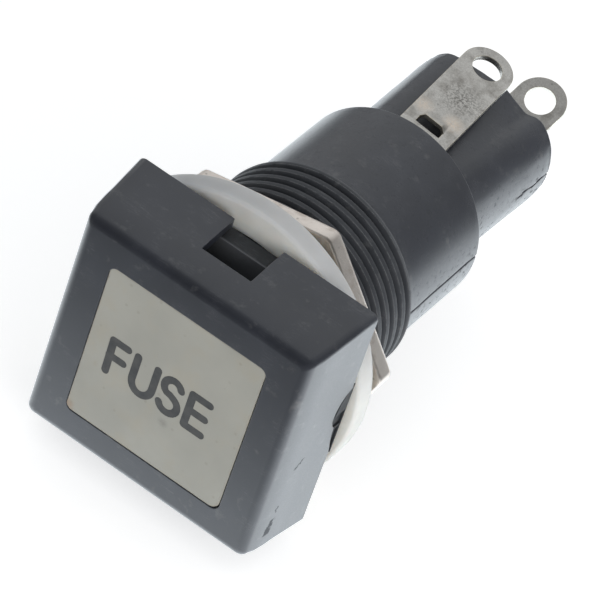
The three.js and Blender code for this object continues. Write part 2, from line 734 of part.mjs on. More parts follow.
// Washer and nut on the barrel
const nutBore = threadCrest + CLOSE_GAP;
const nutCorner = (nutBore + NUT_WALL) / Math.cos(30 * degrees);
const washerBore = threadCrest + Math.hypot(WASHER_SHIFT, WASHER_DROP) + CLOSE_GAP;
const washerBack = WASHER_GAP + WASHER_THICKNESS;
const washer = tube(washerBore, nutCorner + WASHER_MARGIN, WASHER_GAP, washerBack).translate(
  -WASHER_SHIFT,
  0,
  -WASHER_DROP,
);
piece("panel_washer", washer, 0xcfcec6, 0.45, 0);
const nutFront = washerBack + NUT_GAP;
const nutBack = nutFront + NUT_THICKNESS;
const nutShape = new THREE.Shape();
for (let k = 0; k < 6; k++) {
  const angle = (NUT_TURN_DEG + 60 * k) * degrees;
  const point = [nutCorner * Math.cos(angle), nutCorner * Math.sin(angle)];
  if (k) nutShape.lineTo(...point);
  else nutShape.moveTo(...point);
}
const nutGeometry = extruded(nutShape, NUT_THICKNESS, 1);
nutGeometry.applyMatrix4(new THREE.Matrix4().makeBasis(axisX, axisZ, axisY.clone().negate()));
nutGeometry.translate(0, nutBack, 0);
const nutEnvelope = turned([
  [0, nutFront],
  [nutCorner - NUT_CHAMFER, nutFront],
  [nutCorner, nutFront + NUT_CHAMFER],
  [nutCorner, nutBack - NUT_CHAMFER],
  [nutCorner - NUT_CHAMFER, nutBack],
  [0, nutBack],
]);
const nut = solidOf(nutGeometry)
  .intersect(nutEnvelope)
  .subtract(rod(nutBore, nutFront - CUT_PAST, nutBack + CUT_PAST));
piece("panel_nut", nut, 0xa89b8c, 0.35, 0.9);

export default root;
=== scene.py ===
# The looks of a panel-mount cartridge fuse holder with a square pull-out cap.
# The barrel's axis is Y, the label faces -Y and +Z is up. Pieces are drawn in millimetres and then
# scaled to metres.
from math import acos, atan2, cos, degrees, exp, hypot, log1p, pi, radians, sin, tan

import bmesh
import bpy
from mathutils import Matrix, Vector, noise


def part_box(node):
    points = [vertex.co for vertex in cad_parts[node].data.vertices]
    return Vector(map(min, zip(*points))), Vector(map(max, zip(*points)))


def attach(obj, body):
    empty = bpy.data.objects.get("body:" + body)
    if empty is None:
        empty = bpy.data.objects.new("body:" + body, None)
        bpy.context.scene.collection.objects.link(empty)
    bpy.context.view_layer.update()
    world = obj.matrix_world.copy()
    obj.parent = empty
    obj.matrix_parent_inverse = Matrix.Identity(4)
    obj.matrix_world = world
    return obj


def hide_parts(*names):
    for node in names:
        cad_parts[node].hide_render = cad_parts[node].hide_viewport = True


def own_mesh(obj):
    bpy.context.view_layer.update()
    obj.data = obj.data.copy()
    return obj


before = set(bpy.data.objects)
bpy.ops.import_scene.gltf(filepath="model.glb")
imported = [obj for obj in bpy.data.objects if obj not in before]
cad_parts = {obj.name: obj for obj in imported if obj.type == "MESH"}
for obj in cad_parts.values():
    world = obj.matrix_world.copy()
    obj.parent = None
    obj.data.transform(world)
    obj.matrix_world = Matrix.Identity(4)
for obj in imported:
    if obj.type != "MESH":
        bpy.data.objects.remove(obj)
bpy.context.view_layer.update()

MM = 0.001
TURN = 2 * pi
ROUND = 128
SMALL_ROUND = 64


def span(node):
    """The lowest and highest corner of a CAD node, in millimetres."""
    low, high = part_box(node)
    return low / MM, high / MM


def circle(radius, steps, turn=0):
    turns = [TURN * k / steps + turn for k in range(steps)]
    return [(radius * cos(a), radius * sin(a)) for a in turns]


def smooth(value, low, high):
    """0 below low, 1 above high and a soft rise between them."""
    share = min(1, max(0, (value - low) / (high - low)))
    return share * share * (3 - 2 * share)


# Shapes

def in_scene(name, data):
    """A new object of the scene around its mesh, lamp or camera."""
    made = bpy.data.objects.new(name, data)
    bpy.context.scene.collection.objects.link(made)
    return made


def solid(name, points, faces):
    """A mesh from points in millimetres."""
    mesh = bpy.data.meshes.new(name)
    mesh.from_pydata([tuple(point) for point in points], [], faces)
    form = bmesh.new()
    form.from_mesh(mesh)
    bmesh.ops.remove_doubles(form, verts=form.verts, dist=1e-4)
    bmesh.ops.recalc_face_normals(form, faces=form.faces)
    form.to_mesh(mesh)
    form.free()
    return in_scene(name, mesh)


def applied(part):
    """The piece with its modifiers made part of its mesh."""
    graph = bpy.context.evaluated_depsgraph_get()
    mesh = bpy.data.meshes.new_from_object(part.evaluated_get(graph))
    drawn = part.data
    part.modifiers.clear()
    part.data = mesh
    bpy.data.meshes.remove(drawn)
    return part


def carved(part, *tools, operation="DIFFERENCE"):
    """The piece cut by, joined with or kept within each tool in turn."""
    for tool in tools:
        step = part.modifiers.new("carve", "BOOLEAN")
        step.object = tool
        step.operation = operation
        step.solver = "EXACT"
        applied(part)
        bpy.data.objects.remove(tool)
    return part


def joined(part, *tools):
    return carved(part, *tools, operation="UNION")


def softened(part, width, segments=2, angle=50):
    """The piece with its sharp edges rounded to a width."""
    edge = part.modifiers.new("edge", "BEVEL")
    edge.width = width
    edge.segments = segments
    edge.limit_method = "ANGLE"
    edge.angle_limit = radians(angle)
    edge.use_clamp_overlap = False
    return applied(part)


def moved(part, matrix):
    part.data.transform(matrix)
    return part


def eased(corners, steps=4):
    """An outline whose corners (a, b, radius) are turned into arcs; (a, b) stays sharp."""
    outline = []
    for i, corner in enumerate(corners):
        here = Vector(corner[:2])
        if len(corner) < 3:
            outline.append(tuple(here))
            continue
        radius = corner[2]
        before = (Vector(corners[i - 1][:2]) - here).normalized()
        after = (Vector(corners[(i + 1) % len(corners)][:2]) - here).normalized()
        half = before.angle(after) / 2
        centre = here + (before + after).normalized() * (radius / sin(half))
        start = here + before * (radius / tan(half)) - centre
        end = here + after * (radius / tan(half)) - centre
        for k in range(steps + 1):
            spoke = start.lerp(end, k / steps).normalized() * radius
            outline.append(tuple(centre + spoke))
    return outline


def turned(name, profile, steps=ROUND, angles=None):
    """A closed profile of (radius, y) turned about Y; a radius of 0 is a pole."""
    angles = angles or [TURN * k / steps for k in range(steps)]
    points, rings = [], []
    for radius, y in profile:
        if radius < 1e-6:
            rings.append([len(points)])
            points.append((0, y, 0))
        else:
            rings.append(list(range(len(points), len(points) + len(angles))))
            points += [(radius * sin(a), y, radius * cos(a)) for a in angles]
    faces = []
    for lower, upper in zip(rings, rings[1:] + rings[:1]):
        faces += band(lower, upper)
    return solid(name, points, faces)


def band(lower, upper):
    """Faces between two closed rings of the same count; either may be a single point."""
    count = max(len(lower), len(upper))
    if count == 1:
        return []
    faces = []
    for k in range(count):
        after = (k + 1) % count
        if len(lower) == 1:
            faces.append((lower[0], upper[k], upper[after]))
        elif len(upper) == 1:
            faces.append((lower[k], lower[after], upper[0]))
        else:
            faces.append((lower[k], lower[after], upper[after], upper[k]))
    return faces


def lofted(name, rings):
    """A closed skin through rings of the same count, flat at both ends."""
    count = len(rings[0])
    points = [point for ring in rings for point in ring]
    ids = [list(range(i * count, (i + 1) * count)) for i in range(len(rings))]
    faces = [ids[0], ids[-1]]
    for lower, upper in zip(ids, ids[1:]):
        faces += band(lower, upper)
    return solid(name, points, faces)


def stacked(name, sections, z=0, steps=6):
    """Rounded rectangles (y, half_x, half_z, corner) joined along Y."""
    rings = []
    for y, half_x, half_z, corner in sections:
        outline = eased([
            (half_x, z - half_z, corner), (half_x, z + half_z, corner),
            (-half_x, z + half_z, corner), (-half_x, z - half_z, corner),
        ], steps)
        rings.append([(a, y, b) for a, b in outline])
    return lofted(name, rings)


def prism(name, outline, low, high, axes="xyz"):
    """An outline in the first two axes, raised from low to high along the third."""
    order = ["xyz".index(axis) for axis in axes]
    rings = []
    for height in (low, high):
        ring = []
        for a, b in outline:
            point = [0, 0, 0]
            for index, value in zip(order, (a, b, height)):
                point[index] = value
            ring.append(point)
        rings.append(ring)
    return lofted(name, rings)


def brick(x, y, z):
    """A block to cut or join with, from its lowest and highest x, y and z."""
    outline = [(x[0], y[0]), (x[1], y[0]), (x[1], y[1]), (x[0], y[1])]
    return prism("brick", outline, *z)


def swept(name, path, radius, sides=12):
    """A round wire along a path of points, closed at both ends."""
    rings = []
    for i, point in enumerate(path):
        ahead = Vector(path[min(i + 1, len(path) - 1)]) - Vector(path[max(i - 1, 0)])
        across = ahead.cross(Vector((0, 1, 0)))
        if across.length < 1e-6:
            across = Vector((1, 0, 0))
        across.normalize()
        up = across.cross(ahead).normalized()
        rings.append([Vector(point) + radius * (a * across + b * up) for a, b in circle(1, sides)])
    return lofted(name, rings)


def laid(part, at, turn_z, turn_x, turn_y):
    """The piece turned about Y, X and Z, in degrees, and moved to its place."""
    place = Matrix.Translation(at)
    for turn, axis in ((turn_z, "Z"), (turn_x, "X"), (turn_y, "Y")):
        place = place @ Matrix.Rotation(radians(turn), 4, axis)
    return moved(part, place)


def ring_profile(inner, outer, low, high, inside, front, back):
    """A flat ring's section, with the rounding of its bore, front rim and back rim."""
    return [(inner, low, inside), (outer, low, front), (outer, high, back), (inner, high, inside)]


def rough_at(*place):
    """Smooth noise from about -1 to 1 at a place."""
    return noise.noise(Vector(place))


# Shader nodes

def add(tree, kind, sockets=(), **settings):
    """The outputs of a new shader node with its inputs set or linked."""
    made = tree.nodes.new("ShaderNode" + kind)
    for key, value in settings.items():
        setattr(made, key, value)
    for key, value in dict(sockets).items():
        if isinstance(value, bpy.types.NodeSocket):
            tree.links.new(value, made.inputs[key])
        else:
            made.inputs[key].default_value = value
    return made.outputs


def maths(operation, a, b=0.0, clamp=False):
    """A sum of two numbers or sockets, at least one of them a socket."""
    tree = (a if isinstance(a, bpy.types.NodeSocket) else b).id_data
    return add(tree, "Math", {0: a, 1: b}, operation=operation, use_clamp=clamp)[0]


def times(a, b):
    return maths("MULTIPLY", a, b)


def plus(a, b, clamp=False):
    return maths("ADD", a, b, clamp)


def less(a, b):
    return maths("SUBTRACT", a, b)


def ranged(value, low, high, to_low=0.0, to_high=1.0):
    """A value carried from one range to another."""
    sockets = {
        "Value": value, "From Min": low, "From Max": high, "To Min": to_low, "To Max": to_high,
    }
    return add(value.id_data, "MapRange", sockets, clamp=True)[0]


def mixed(factor, a, b):
    return add(factor.id_data, "Mix", {0: factor, 6: a, 7: b}, data_type="RGBA")[2]


def tinted(base, mask, amount, colour):
    """A colour laid over the base where the mask is, by an amount."""
    return mixed(times(mask, amount), base, colour)


def apart(vector):
    return add(vector.id_data, "SeparateXYZ", {0: vector})


def vectors(operation, a, b, result="Value"):
    return add(a.id_data, "VectorMath", {0: a, 1: b}, operation=operation)[result]


def distance(vector, spot):
    return vectors("DISTANCE", vector, spot)


def millimetres(tree, stretch=(1, 1, 1), turn=(0, 0, 0)):
    """The piece's own coordinates in millimetres, turned and then stretched."""
    sockets = {"Vector": add(tree, "TexCoord")["Object"], "Rotation": turn,
               "Scale": [s / MM for s in stretch]}
    return add(tree, "Mapping", sockets, vector_type="POINT")[0]


def noise_of(vector, scale, detail=3.0, roughness=0.5):
    sockets = {"Vector": vector, "Scale": scale, "Detail": detail, "Roughness": roughness}
    return add(vector.id_data, "TexNoise", sockets)["Fac"]


def link(value, socket):
    value.id_data.links.new(value, socket)


# Shader groups

def group(name, inputs, outputs):
    """A shader group: its tree, what goes in and what comes out."""
    tree = bpy.data.node_groups.new(name, "ShaderNodeTree")
    for label, value in inputs.items():
        socket = tree.interface.new_socket(label, in_out="INPUT", socket_type="NodeSocketFloat")
        socket.default_value = value
    for label in outputs:
        tree.interface.new_socket(label, in_out="OUTPUT", socket_type="NodeSocketFloat")
    return tree, tree.nodes.new("NodeGroupInput").outputs, tree.nodes.new("NodeGroupOutput").inputs


def grain_group():
    """Fine texture of a surface, with broad uneven patches."""
    tree, given, out = group("surface_grain", {"Fine": 6.0, "Broad": 0.35}, ["Grain", "Patches"])
    place = millimetres(tree)
    link(noise_of(place, given["Fine"], 4.0, 0.65), out["Grain"])
    link(noise_of(place, given["Broad"], 3.0), out["Patches"])
    return tree


def edge_wear_and_highlight_group():
    """Along edges, broken up by noise: edges lightened by rubbing and as a painted highlight, and
    browned edges.
    """
    tree, given, out = group("edge_wear_and_highlight", {"Width": 0.15, "Breakup": 0.5}, ["Wear"])
    rounded = add(tree, "Bevel", {"Radius": times(given["Width"], MM)}, samples=6)[0]
    flat = vectors("DOT_PRODUCT", rounded, add(tree, "NewGeometry")["Normal"])
    patches = noise_of(millimetres(tree), 1.7, 5.0, 0.7)
    low = times(given["Breakup"], 0.9)
    broken = ranged(patches, low, plus(low, 0.12))
    link(times(ranged(flat, 0.995, 0.85), broken), out["Wear"])
    return tree


def scratch_group():
    tree, given, out = group("scratches", {"Scale": 1.0, "Amount": 0.5}, ["Scratches"])
    lines = []
    for turn, stretch in (((0.3, 0.9, 0.4), (0.35, 7, 7)), ((1.2, 0.2, 1.9), (0.3, 9, 9))):
        value = noise_of(millimetres(tree, stretch, turn), given["Scale"], 2.0)
        lines.append(ranged(maths("ABSOLUTE", less(value, 0.5)), 0.012, 0.0))
    where = noise_of(millimetres(tree), 0.6, 3.0)
    floor = less(0.75, times(given["Amount"], 0.5))
    shown = ranged(where, floor, plus(floor, 0.15))
    link(times(maths("MAXIMUM", *lines), shown), out["Scratches"])
    return tree


def stain_group():
    inputs = {"Scale": 0.5, "Cover": 0.4, "Dots": 1.1}
    tree, given, out = group("stains", inputs, ["Stains", "Specks"])
    place = millimetres(tree)
    low = less(0.8, times(given["Cover"], 0.6))
    broad = noise_of(place, given["Scale"], 6.0, 0.6)
    link(ranged(broad, low, plus(low, 0.2)), out["Stains"])
    dots = add(tree, "TexVoronoi", {"Vector": place, "Scale": given["Dots"], "Randomness": 1.0})
    link(ranged(dots["Distance"], 0.12, 0.05), out["Specks"])
    return tree


def brushed_group():
    """Fine lines left by rolling or brushing, along Y."""
    tree, given, out = group("brushed_lines", {"Scale": 1.0}, ["Lines"])
    place = millimetres(tree, (14, 0.5, 14))
    link(noise_of(place, given["Scale"], 3.0, 0.6), out["Lines"])
    return tree


GRAIN = grain_group()
EDGE_WEAR_AND_HIGHLIGHT = edge_wear_and_highlight_group()
SCRATCHES = scratch_group()
STAINS = stain_group()
BRUSHED = brushed_group()


def placed(tree, which, **values):
    return add(tree, "Group", values, node_tree=which)


# Materials
PALE_DUST = (0.5, 0.49, 0.46, 1)
# Grey for painted shade on the washer's top and upper rim.
PAINTED_SHADE_GREY = (0.40, 0.41, 0.44, 1)
# Pale grey that lightens a surface beyond a place along Y; on the flange it is painted light.
PALE_LIGHTENING_GREY = (0.30, 0.31, 0.33, 1)
# Edge grey for plastic: partly rubbing, partly a painted highlight.
RUBBED_AND_HIGHLIT_PLASTIC = (0.3, 0.31, 0.32, 1)
SCRATCHED_PLASTIC = (0.3, 0.3, 0.3, 1)
# Warm painted highlight, laid on the tab's lip.
PAINTED_WARM_HIGHLIGHT = (0.98, 0.84, 0.70, 1)


def shade(colour, factor):
    return [c * factor for c in colour[:3]] + [1]


def uneven(patches, colour, low, high):
    """A colour that drifts in broad patches between two shades of it."""
    return mixed(ranged(patches, 0.3, 0.7), shade(colour, low), shade(colour, high))


def new_material(name, roughness, metallic=0.0, **constants):
    """A material, its tree and its shader, with what is the same all over it."""
    material = bpy.data.materials.new(name)
    material.use_nodes = True
    shader = material.node_tree.nodes["Principled BSDF"].inputs
    shader["Roughness"].default_value = roughness
    shader["Metallic"].default_value = metallic
    for key, value in constants.items():
        shader[key.replace("_", " ")].default_value = value
    return material, material.node_tree, shader


def finished(material, base, rough, height, depth):
    """The material with its colour, roughness and relief, depth in millimetres."""
    shader = material.node_tree.nodes["Principled BSDF"].inputs
    sockets = {"Height": height, "Distance": depth * MM, "Strength": 1.0}
    link(add(height.id_data, "Bump", sockets)[0], shader["Normal"])
    link(rough, shader["Roughness"])
    if base is not None:
        link(base, shader["Base Color"])
    return material


def scuff_mark(place, spot, half_length, half_width, lean):
    """Where a scuff is: its place, its half length along Z, half width and lean towards Y."""
    line = apart(vectors("SUBTRACT", place, spot, "Vector"))
    torn = ranged(noise_of(place, 2.6, 4.0, 0.7), 0.3, 0.7, -0.25, 0.25)
    across = plus(less(line["Y"], times(line["Z"], lean)), torn)
    wide = ranged(maths("ABSOLUTE", across), half_width, half_width * 0.5)
    along = maths("ABSOLUTE", line["Z"])
    mark = times(wide, ranged(along, half_length, half_length * 0.8))
    return times(mark, maths("GREATER_THAN", line["X"], -1.0))


def moulded_plastic(name, colour, roughness, fine=7.0, depth=0.006, rubbed_and_highlit=0.35, dust=0.06,
                    pits=0.0, film=None, shaded_top=0.0, shaded_rim=None, breakup=0.55, scuffs=(),
                    **constants):
    """Moulded plastic with grain, edges lightened by rubbing and as a painted highlight, scratches,
    dust, pits and scuffs.

    Beyond a place along Y the colour turns pale grey, which on the flange is painted light in its
    shaded front face;
    beyond a radius and towards the top it turns grey as painted shade; each as (plain until, full
    from, amount) in millimetres. Faces that look up turn grey as painted shade.
    """
    material, tree, shader = new_material(name, roughness, **constants)
    place = millimetres(tree)
    spot = apart(place)
    grain, patches = placed(tree, GRAIN, Fine=fine, Broad=0.3)
    edge_mask = placed(tree, EDGE_WEAR_AND_HIGHLIGHT, Width=0.16, Breakup=breakup)[0]
    marks = placed(tree, SCRATCHES, Scale=1.3, Amount=0.45)[0]
    stains = placed(tree, STAINS, Scale=0.9, Cover=0.35, Dots=1.4)[0]
    base = uneven(patches, colour, 0.86, 1.14)
    base = tinted(base, stains, dust, PALE_DUST)
    # Lighter edges: partly rubbing, partly a painted highlight.
    base = tinted(base, edge_mask, rubbed_and_highlit, RUBBED_AND_HIGHLIT_PLASTIC)
    base = tinted(base, marks, 0.25, SCRATCHED_PLASTIC)
    # A hollow: its mask, then how dark, deep and dull it is and how much of the coat is gone
    hollows = []
    if pits:
        gathered = times(ranged(patches, 0.42, 0.52, pits * 0.5, pits),
                         ranged(spot["Z"], 2.6, -1.5, 0.12, 1.0))
        ragged = ranged(noise_of(place, 2.4, 5.0, 0.7), 0.56, 0.61)
        hollows.append((times(ragged, gathered), 0.25, 6.0, 0.4, 0.9))
    for scuff in scuffs:
        hollows.append((scuff_mark(place, *scuff), 0.7, 8.0, 0.5, 0.5))
    height = grain
    rough = ranged(grain, 0.3, 0.7, roughness - 0.05, roughness + 0.07)
    coat = constants.get("Coat_Weight", 0.0)
    for mask, dark, deep, dull, gone in hollows:
        base = mixed(mask, base, shade(colour, dark))
        height = less(height, times(mask, deep))
        rough = plus(rough, times(mask, dull), clamp=True)
        coat = times(less(1.0, times(mask, gone)), coat)
    if hollows:
        link(coat, shader["Coat Weight"])
    # Pale grey beyond a place along Y; on the flange this is painted light in its shaded front
    # face.
    if film:
        clear, full, amount = film
        base = mixed(ranged(spot["Y"], clear, full, 0.0, amount), base, PALE_LIGHTENING_GREY)
    # Faces that look up are greyed: painted shade.
    if shaded_top:
        upward = apart(add(tree, "TexCoord")["Normal"])["Z"]
        base = mixed(ranged(upward, 0.1, 0.75, 0.0, shaded_top), base, PAINTED_SHADE_GREY)
    # Beyond a radius and towards the top the colour is greyed: painted shade.
    if shaded_rim:
        start_radius, full, amount = shaded_rim
        out = maths("SQRT", plus(maths("POWER", spot["X"], 2.0), maths("POWER", spot["Z"], 2.0)))
        base = tinted(base, ranged(out, start_radius, full, 0.0, amount), ranged(spot["Z"], 0.0, 5.0),
                      PAINTED_SHADE_GREY)
    return finished(material, base, rough, height, depth)


def plated_metal(name, colour, roughness, tarnish, lines=0.0, cover=0.4, marked=0.5, bare=None,
                 soil=None, highlight_spots=(), scratch=0.55):
    """Plated metal with brushed lines, stains, scratches and edges lightened by rubbing and as a
    painted highlight.

    Dark specks gather around the spot soil, and a warm painted highlight lies at each highlight
    spot.
    """
    material, tree, _ = new_material(name, roughness, 1.0)
    place = millimetres(tree)
    grain, patches = placed(tree, GRAIN, Fine=5.0, Broad=0.5)
    edge_mask = placed(tree, EDGE_WEAR_AND_HIGHLIGHT, Width=0.12, Breakup=0.35)[0]
    marks = placed(tree, SCRATCHES, Scale=1.6, Amount=marked)[0]
    stains, specks = placed(tree, STAINS, Scale=0.8, Cover=cover, Dots=1.1)
    brushed = placed(tree, BRUSHED, Scale=1.0)[0]
    base = uneven(patches, colour, 0.90, 1.07)
    base = tinted(base, stains, 0.55, tarnish)
    base = tinted(base, specks, 0.4, shade(tarnish, 0.3))
    if soil:
        around = ranged(distance(place, soil), 2.0, 0.0)
        crumbs = ranged(noise_of(place, 6.5, 4.0, 0.75), 0.47, 0.56)
        base = tinted(base, times(around, crumbs), 0.9, shade(tarnish, 0.25))
        mottle = ranged(noise_of(place, 9.0, 2.0, 0.6), 0.35, 0.65, 0.0, 0.3)
        base = mixed(mottle, base, shade(tarnish, 0.8))
    # A warm painted highlight at each highlight spot.
    for spot in highlight_spots:
        thin = ranged(distance(place, spot), 0.95, 0.1, 0.0, 0.8)
        base = tinted(base, thin, ranged(grain, 0.25, 0.55), PAINTED_WARM_HIGHLIGHT)
    # Edges take a lighter shade, bare brass on the tinned strip: partly rubbing, partly a painted
    # highlight.
    base = tinted(base, edge_mask, 0.7, bare or shade(colour, 1.25))
    base = tinted(base, marks, 0.5, shade(colour, scratch))
    rough = plus(ranged(grain, 0.3, 0.7, roughness - 0.06, roughness + 0.08),
                 times(ranged(brushed, 0.3, 0.7), lines))
    rough = plus(rough, times(stains, 0.15), clamp=True)
    height = plus(grain, times(brushed, lines))
    height = less(height, times(marks, 0.5))
    return finished(material, base, rough, height, 0.006)


# Spots on the label: place in millimetres, reach, amount and colour
LABEL_SPOTS = [((-5.85, -6.65, -5.9), 0.7, 0.6, (0.36, 0.20, 0.09, 1)),
               ((0.6, -6.65, -2.53), 0.45, 0.5, (0.17, 0.165, 0.15, 1)),
               ((-4.9, -6.65, -1.6), 0.3, 0.3, (0.33, 0.25, 0.15, 1))]


def label_material():
    """Cream film with spots, browned edges and an uneven gloss."""
    material, tree, _ = new_material("label_film", 0.4)
    place = millimetres(tree)
    grain, patches = placed(tree, GRAIN, Fine=2.5, Broad=0.25)
    stains, specks = placed(tree, STAINS, Scale=0.45, Cover=0.5, Dots=0.8)
    edge = placed(tree, EDGE_WEAR_AND_HIGHLIGHT, Width=0.22, Breakup=0.42)[0]
    base = uneven(patches, (0.39, 0.385, 0.345), 0.93, 1.06)
    for spot, reach, amount, colour in LABEL_SPOTS:
        mark = ranged(distance(place, spot), reach, 0.05, 0.0, amount)
        base = tinted(base, mark, ranged(grain, 0.3, 0.6), colour)
    base = tinted(base, edge, 0.55, (0.24, 0.18, 0.11, 1))
    base = tinted(base, stains, 0.25, (0.42, 0.36, 0.25, 1))
    base = tinted(base, specks, 0.22, (0.2, 0.16, 0.11, 1))
    rough = ranged(grain, 0.3, 0.7, 0.33, 0.5)
    return finished(material, base, rough, grain, 0.004)


def ink_material():
    """Dark printed ink, greyer where it is thin."""
    material, tree, _ = new_material("label_ink", 0.5)
    grain, patches = placed(tree, GRAIN, Fine=4.0, Broad=1.2)
    base = mixed(ranged(patches, 0.3, 0.75), (0.045, 0.047, 0.05, 1),
                 (0.085, 0.085, 0.083, 1))
    rough = ranged(grain, 0.3, 0.7, 0.42, 0.6)
    return finished(material, base, rough, grain, 0.004)


def glass_material():
    """Clear glass with faint smears."""
    material, tree, _ = new_material("fuse_glass", 0.03, Transmission_Weight=1.0, IOR=1.47,
                                     Base_Color=(0.93, 0.97, 0.96, 1))
    grain, patches = placed(tree, GRAIN, Fine=1.2, Broad=0.4)
    rough = ranged(patches, 0.45, 0.75, 0.02, 0.09)
    return finished(material, None, rough, grain, 0.002)


# Scuffs on the cap's right side: place, half length along Z, half width and lean, in millimetres
CAP_SCUFFS = [((8.72, -4.68, -6.7), 0.75, 0.3, 0.18), ((8.74, -4.45, -5.2), 0.3, 0.13, 0.2),
              ((8.8, -3.7, -1.66), 0.35, 0.17, 1.05)]
CAP_PLASTIC = moulded_plastic(
    "cap_plastic", (0.023, 0.026, 0.036), 0.42, fine=9.0, depth=0.004, dust=0.16,
    scuffs=CAP_SCUFFS, Coat_Weight=0.75, Coat_Roughness=0.3)
BODY_PLASTIC = moulded_plastic(
    "body_plastic", (0.028, 0.031, 0.041), 0.45, fine=6.0, depth=0.008, rubbed_and_highlit=0.8, dust=0.12,
    pits=0.9, breakup=0.4, Coat_Weight=0.68, Coat_Roughness=0.3)
# The flange's pale grey front face is painted light in a shaded recess inside the cap.
FLANGE_PLASTIC = moulded_plastic(
    "flange_plastic", (0.028, 0.031, 0.036), 0.62, fine=6.0, depth=0.008, rubbed_and_highlit=0.05, dust=0.1,
    film=(-1.2, -1.34, 0.3))
# Its edge lightening is partly a painted highlight on the thread's crests.
THREAD_PLASTIC = moulded_plastic(
    "thread_plastic", (0.040, 0.043, 0.050), 0.5, fine=6.0, depth=0.008, rubbed_and_highlit=0.5, dust=0.14,
    film=(9.55, 9.72, 0.22), breakup=0.42, Specular_IOR_Level=0.38)
CARRIER_PLASTIC = moulded_plastic("carrier_plastic", (0.035, 0.036, 0.040), 0.5)
PLUG_PLASTIC = moulded_plastic("plug_plastic", (0.10, 0.06, 0.035), 0.6, fine=4.0, depth=0.012)
# The washer's grey on top and at its upper rim is painted shade.
WASHER_PLASTIC = moulded_plastic(
    "washer_plastic", (0.80, 0.795, 0.755), 0.42, fine=3.0, rubbed_and_highlit=0.0, dust=0.15, shaded_top=0.36,
    shaded_rim=(8.9, 9.9, 0.42), Subsurface_Weight=0.8, Subsurface_Radius=(1.0, 0.9, 0.8),
    Subsurface_Scale=0.002)
LABEL_FILM = label_material()
LABEL_INK = ink_material()
CONTACT_BRASS = plated_metal("contact_brass", (0.66, 0.5, 0.24), 0.3, (0.3, 0.2, 0.1, 1), 0.08)
FUSE_NICKEL = plated_metal("fuse_cap_nickel", (0.72, 0.71, 0.68), 0.2, (0.5, 0.47, 0.4, 1))
SOLDER = plated_metal("solder", (0.55, 0.55, 0.57), 0.35, (0.35, 0.34, 0.32, 1))
WIRE_SILVER = plated_metal("fuse_wire_silver", (0.75, 0.75, 0.77), 0.22, (0.5, 0.5, 0.5, 1))
# The two warm spots near the tab are painted highlights.
TINNED = plated_metal(
    "tinned_brass", (0.74, 0.72, 0.68), 0.38, (0.44, 0.41, 0.37, 1), 0.12, 0.5,
    bare=(0.92, 0.80, 0.56, 1), soil=(0.0, 25.1, 5.4), highlight_spots=((-1.5, 22.5, 5.2), (0.8, 22.85, 5.2)))
SPRING_STEEL = plated_metal("spring_steel", (0.6, 0.6, 0.62), 0.25, (0.4, 0.38, 0.36, 1))
NUT_NICKEL = plated_metal(
    "nut_nickel", (0.93, 0.85, 0.78), 0.38, (0.52, 0.42, 0.34, 1), 0.05, 0.5, 0.9, scratch=0.7)
GLASS = glass_material()


def set_down(part, material, body, slot, *nodes, sharp=38):
    """A finished piece in metres, on its body, in its finish and for its CAD nodes."""
    part.data.transform(Matrix.Scale(MM, 4))
    part.data.materials.clear()
    part.data.materials.append(material)
    part.data.shade_smooth()
    part.data.set_sharp_from_angle(angle=radians(sharp))
    normals = part.modifiers.new("normals", "WEIGHTED_NORMAL")
    normals.keep_sharp = True
    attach(part, body)
    if nodes:
        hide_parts(*nodes)
    return part


# Cap: a tapered square shell with a label pocket, a pry notch above and a scallop on the right
cap_low, cap_high = span("cap_shell")
CAP_FACE = cap_low.y
CAP_RIM = cap_high.y
CAP_BACK_HALF = cap_high.x
CAP_FRONT_HALF = 8.55
CAP_EDGE = 0.7
CAP_CORNER = 0.5
CAP_WALL = 0.7
CAVITY_FRONT = CAP_FACE + 1.5
CATCH_FRONT = -3.75
CATCH_INNER = 5.55
NOTCH_HALF = 1.85
NOTCH_DEPTH = 3.5
SCALLOP_EDGE = [(0.1, 3.1), (-0.3, 2.95), (-0.74, 2.51), (-1.02, 2.05), (-1.2, 1.54), (-1.29, 1.0),
                (-1.27, 0.5), (-1.05, 0.02), (-0.8, -0.25), (-0.77, -0.5), (-0.73, -0.96),
                (-0.6, -1.6), (-0.38, -2.3), (-0.28, -2.8), (0.1, -2.95)]
KEY_END = 0.95
RIB_AT = (-0.42, -0.26)
label_low, label_high = span("label_plate")
LABEL_MIDDLE = (label_low.z + label_high.z) / 2
POCKET_GAP = 0.03
POCKET_SHIFT = 0.025


def scallop(low, high, back=0.1, gap=0.0):
    """The worn scallop in the cap's right rim, from low to high along X."""
    outline = [(y + gap, z) for y, z in SCALLOP_EDGE]
    outline[0] = (back, outline[0][1])
    outline[-1] = (back, outline[-1][1])
    return prism("scallop", outline, low, high, "yzx")


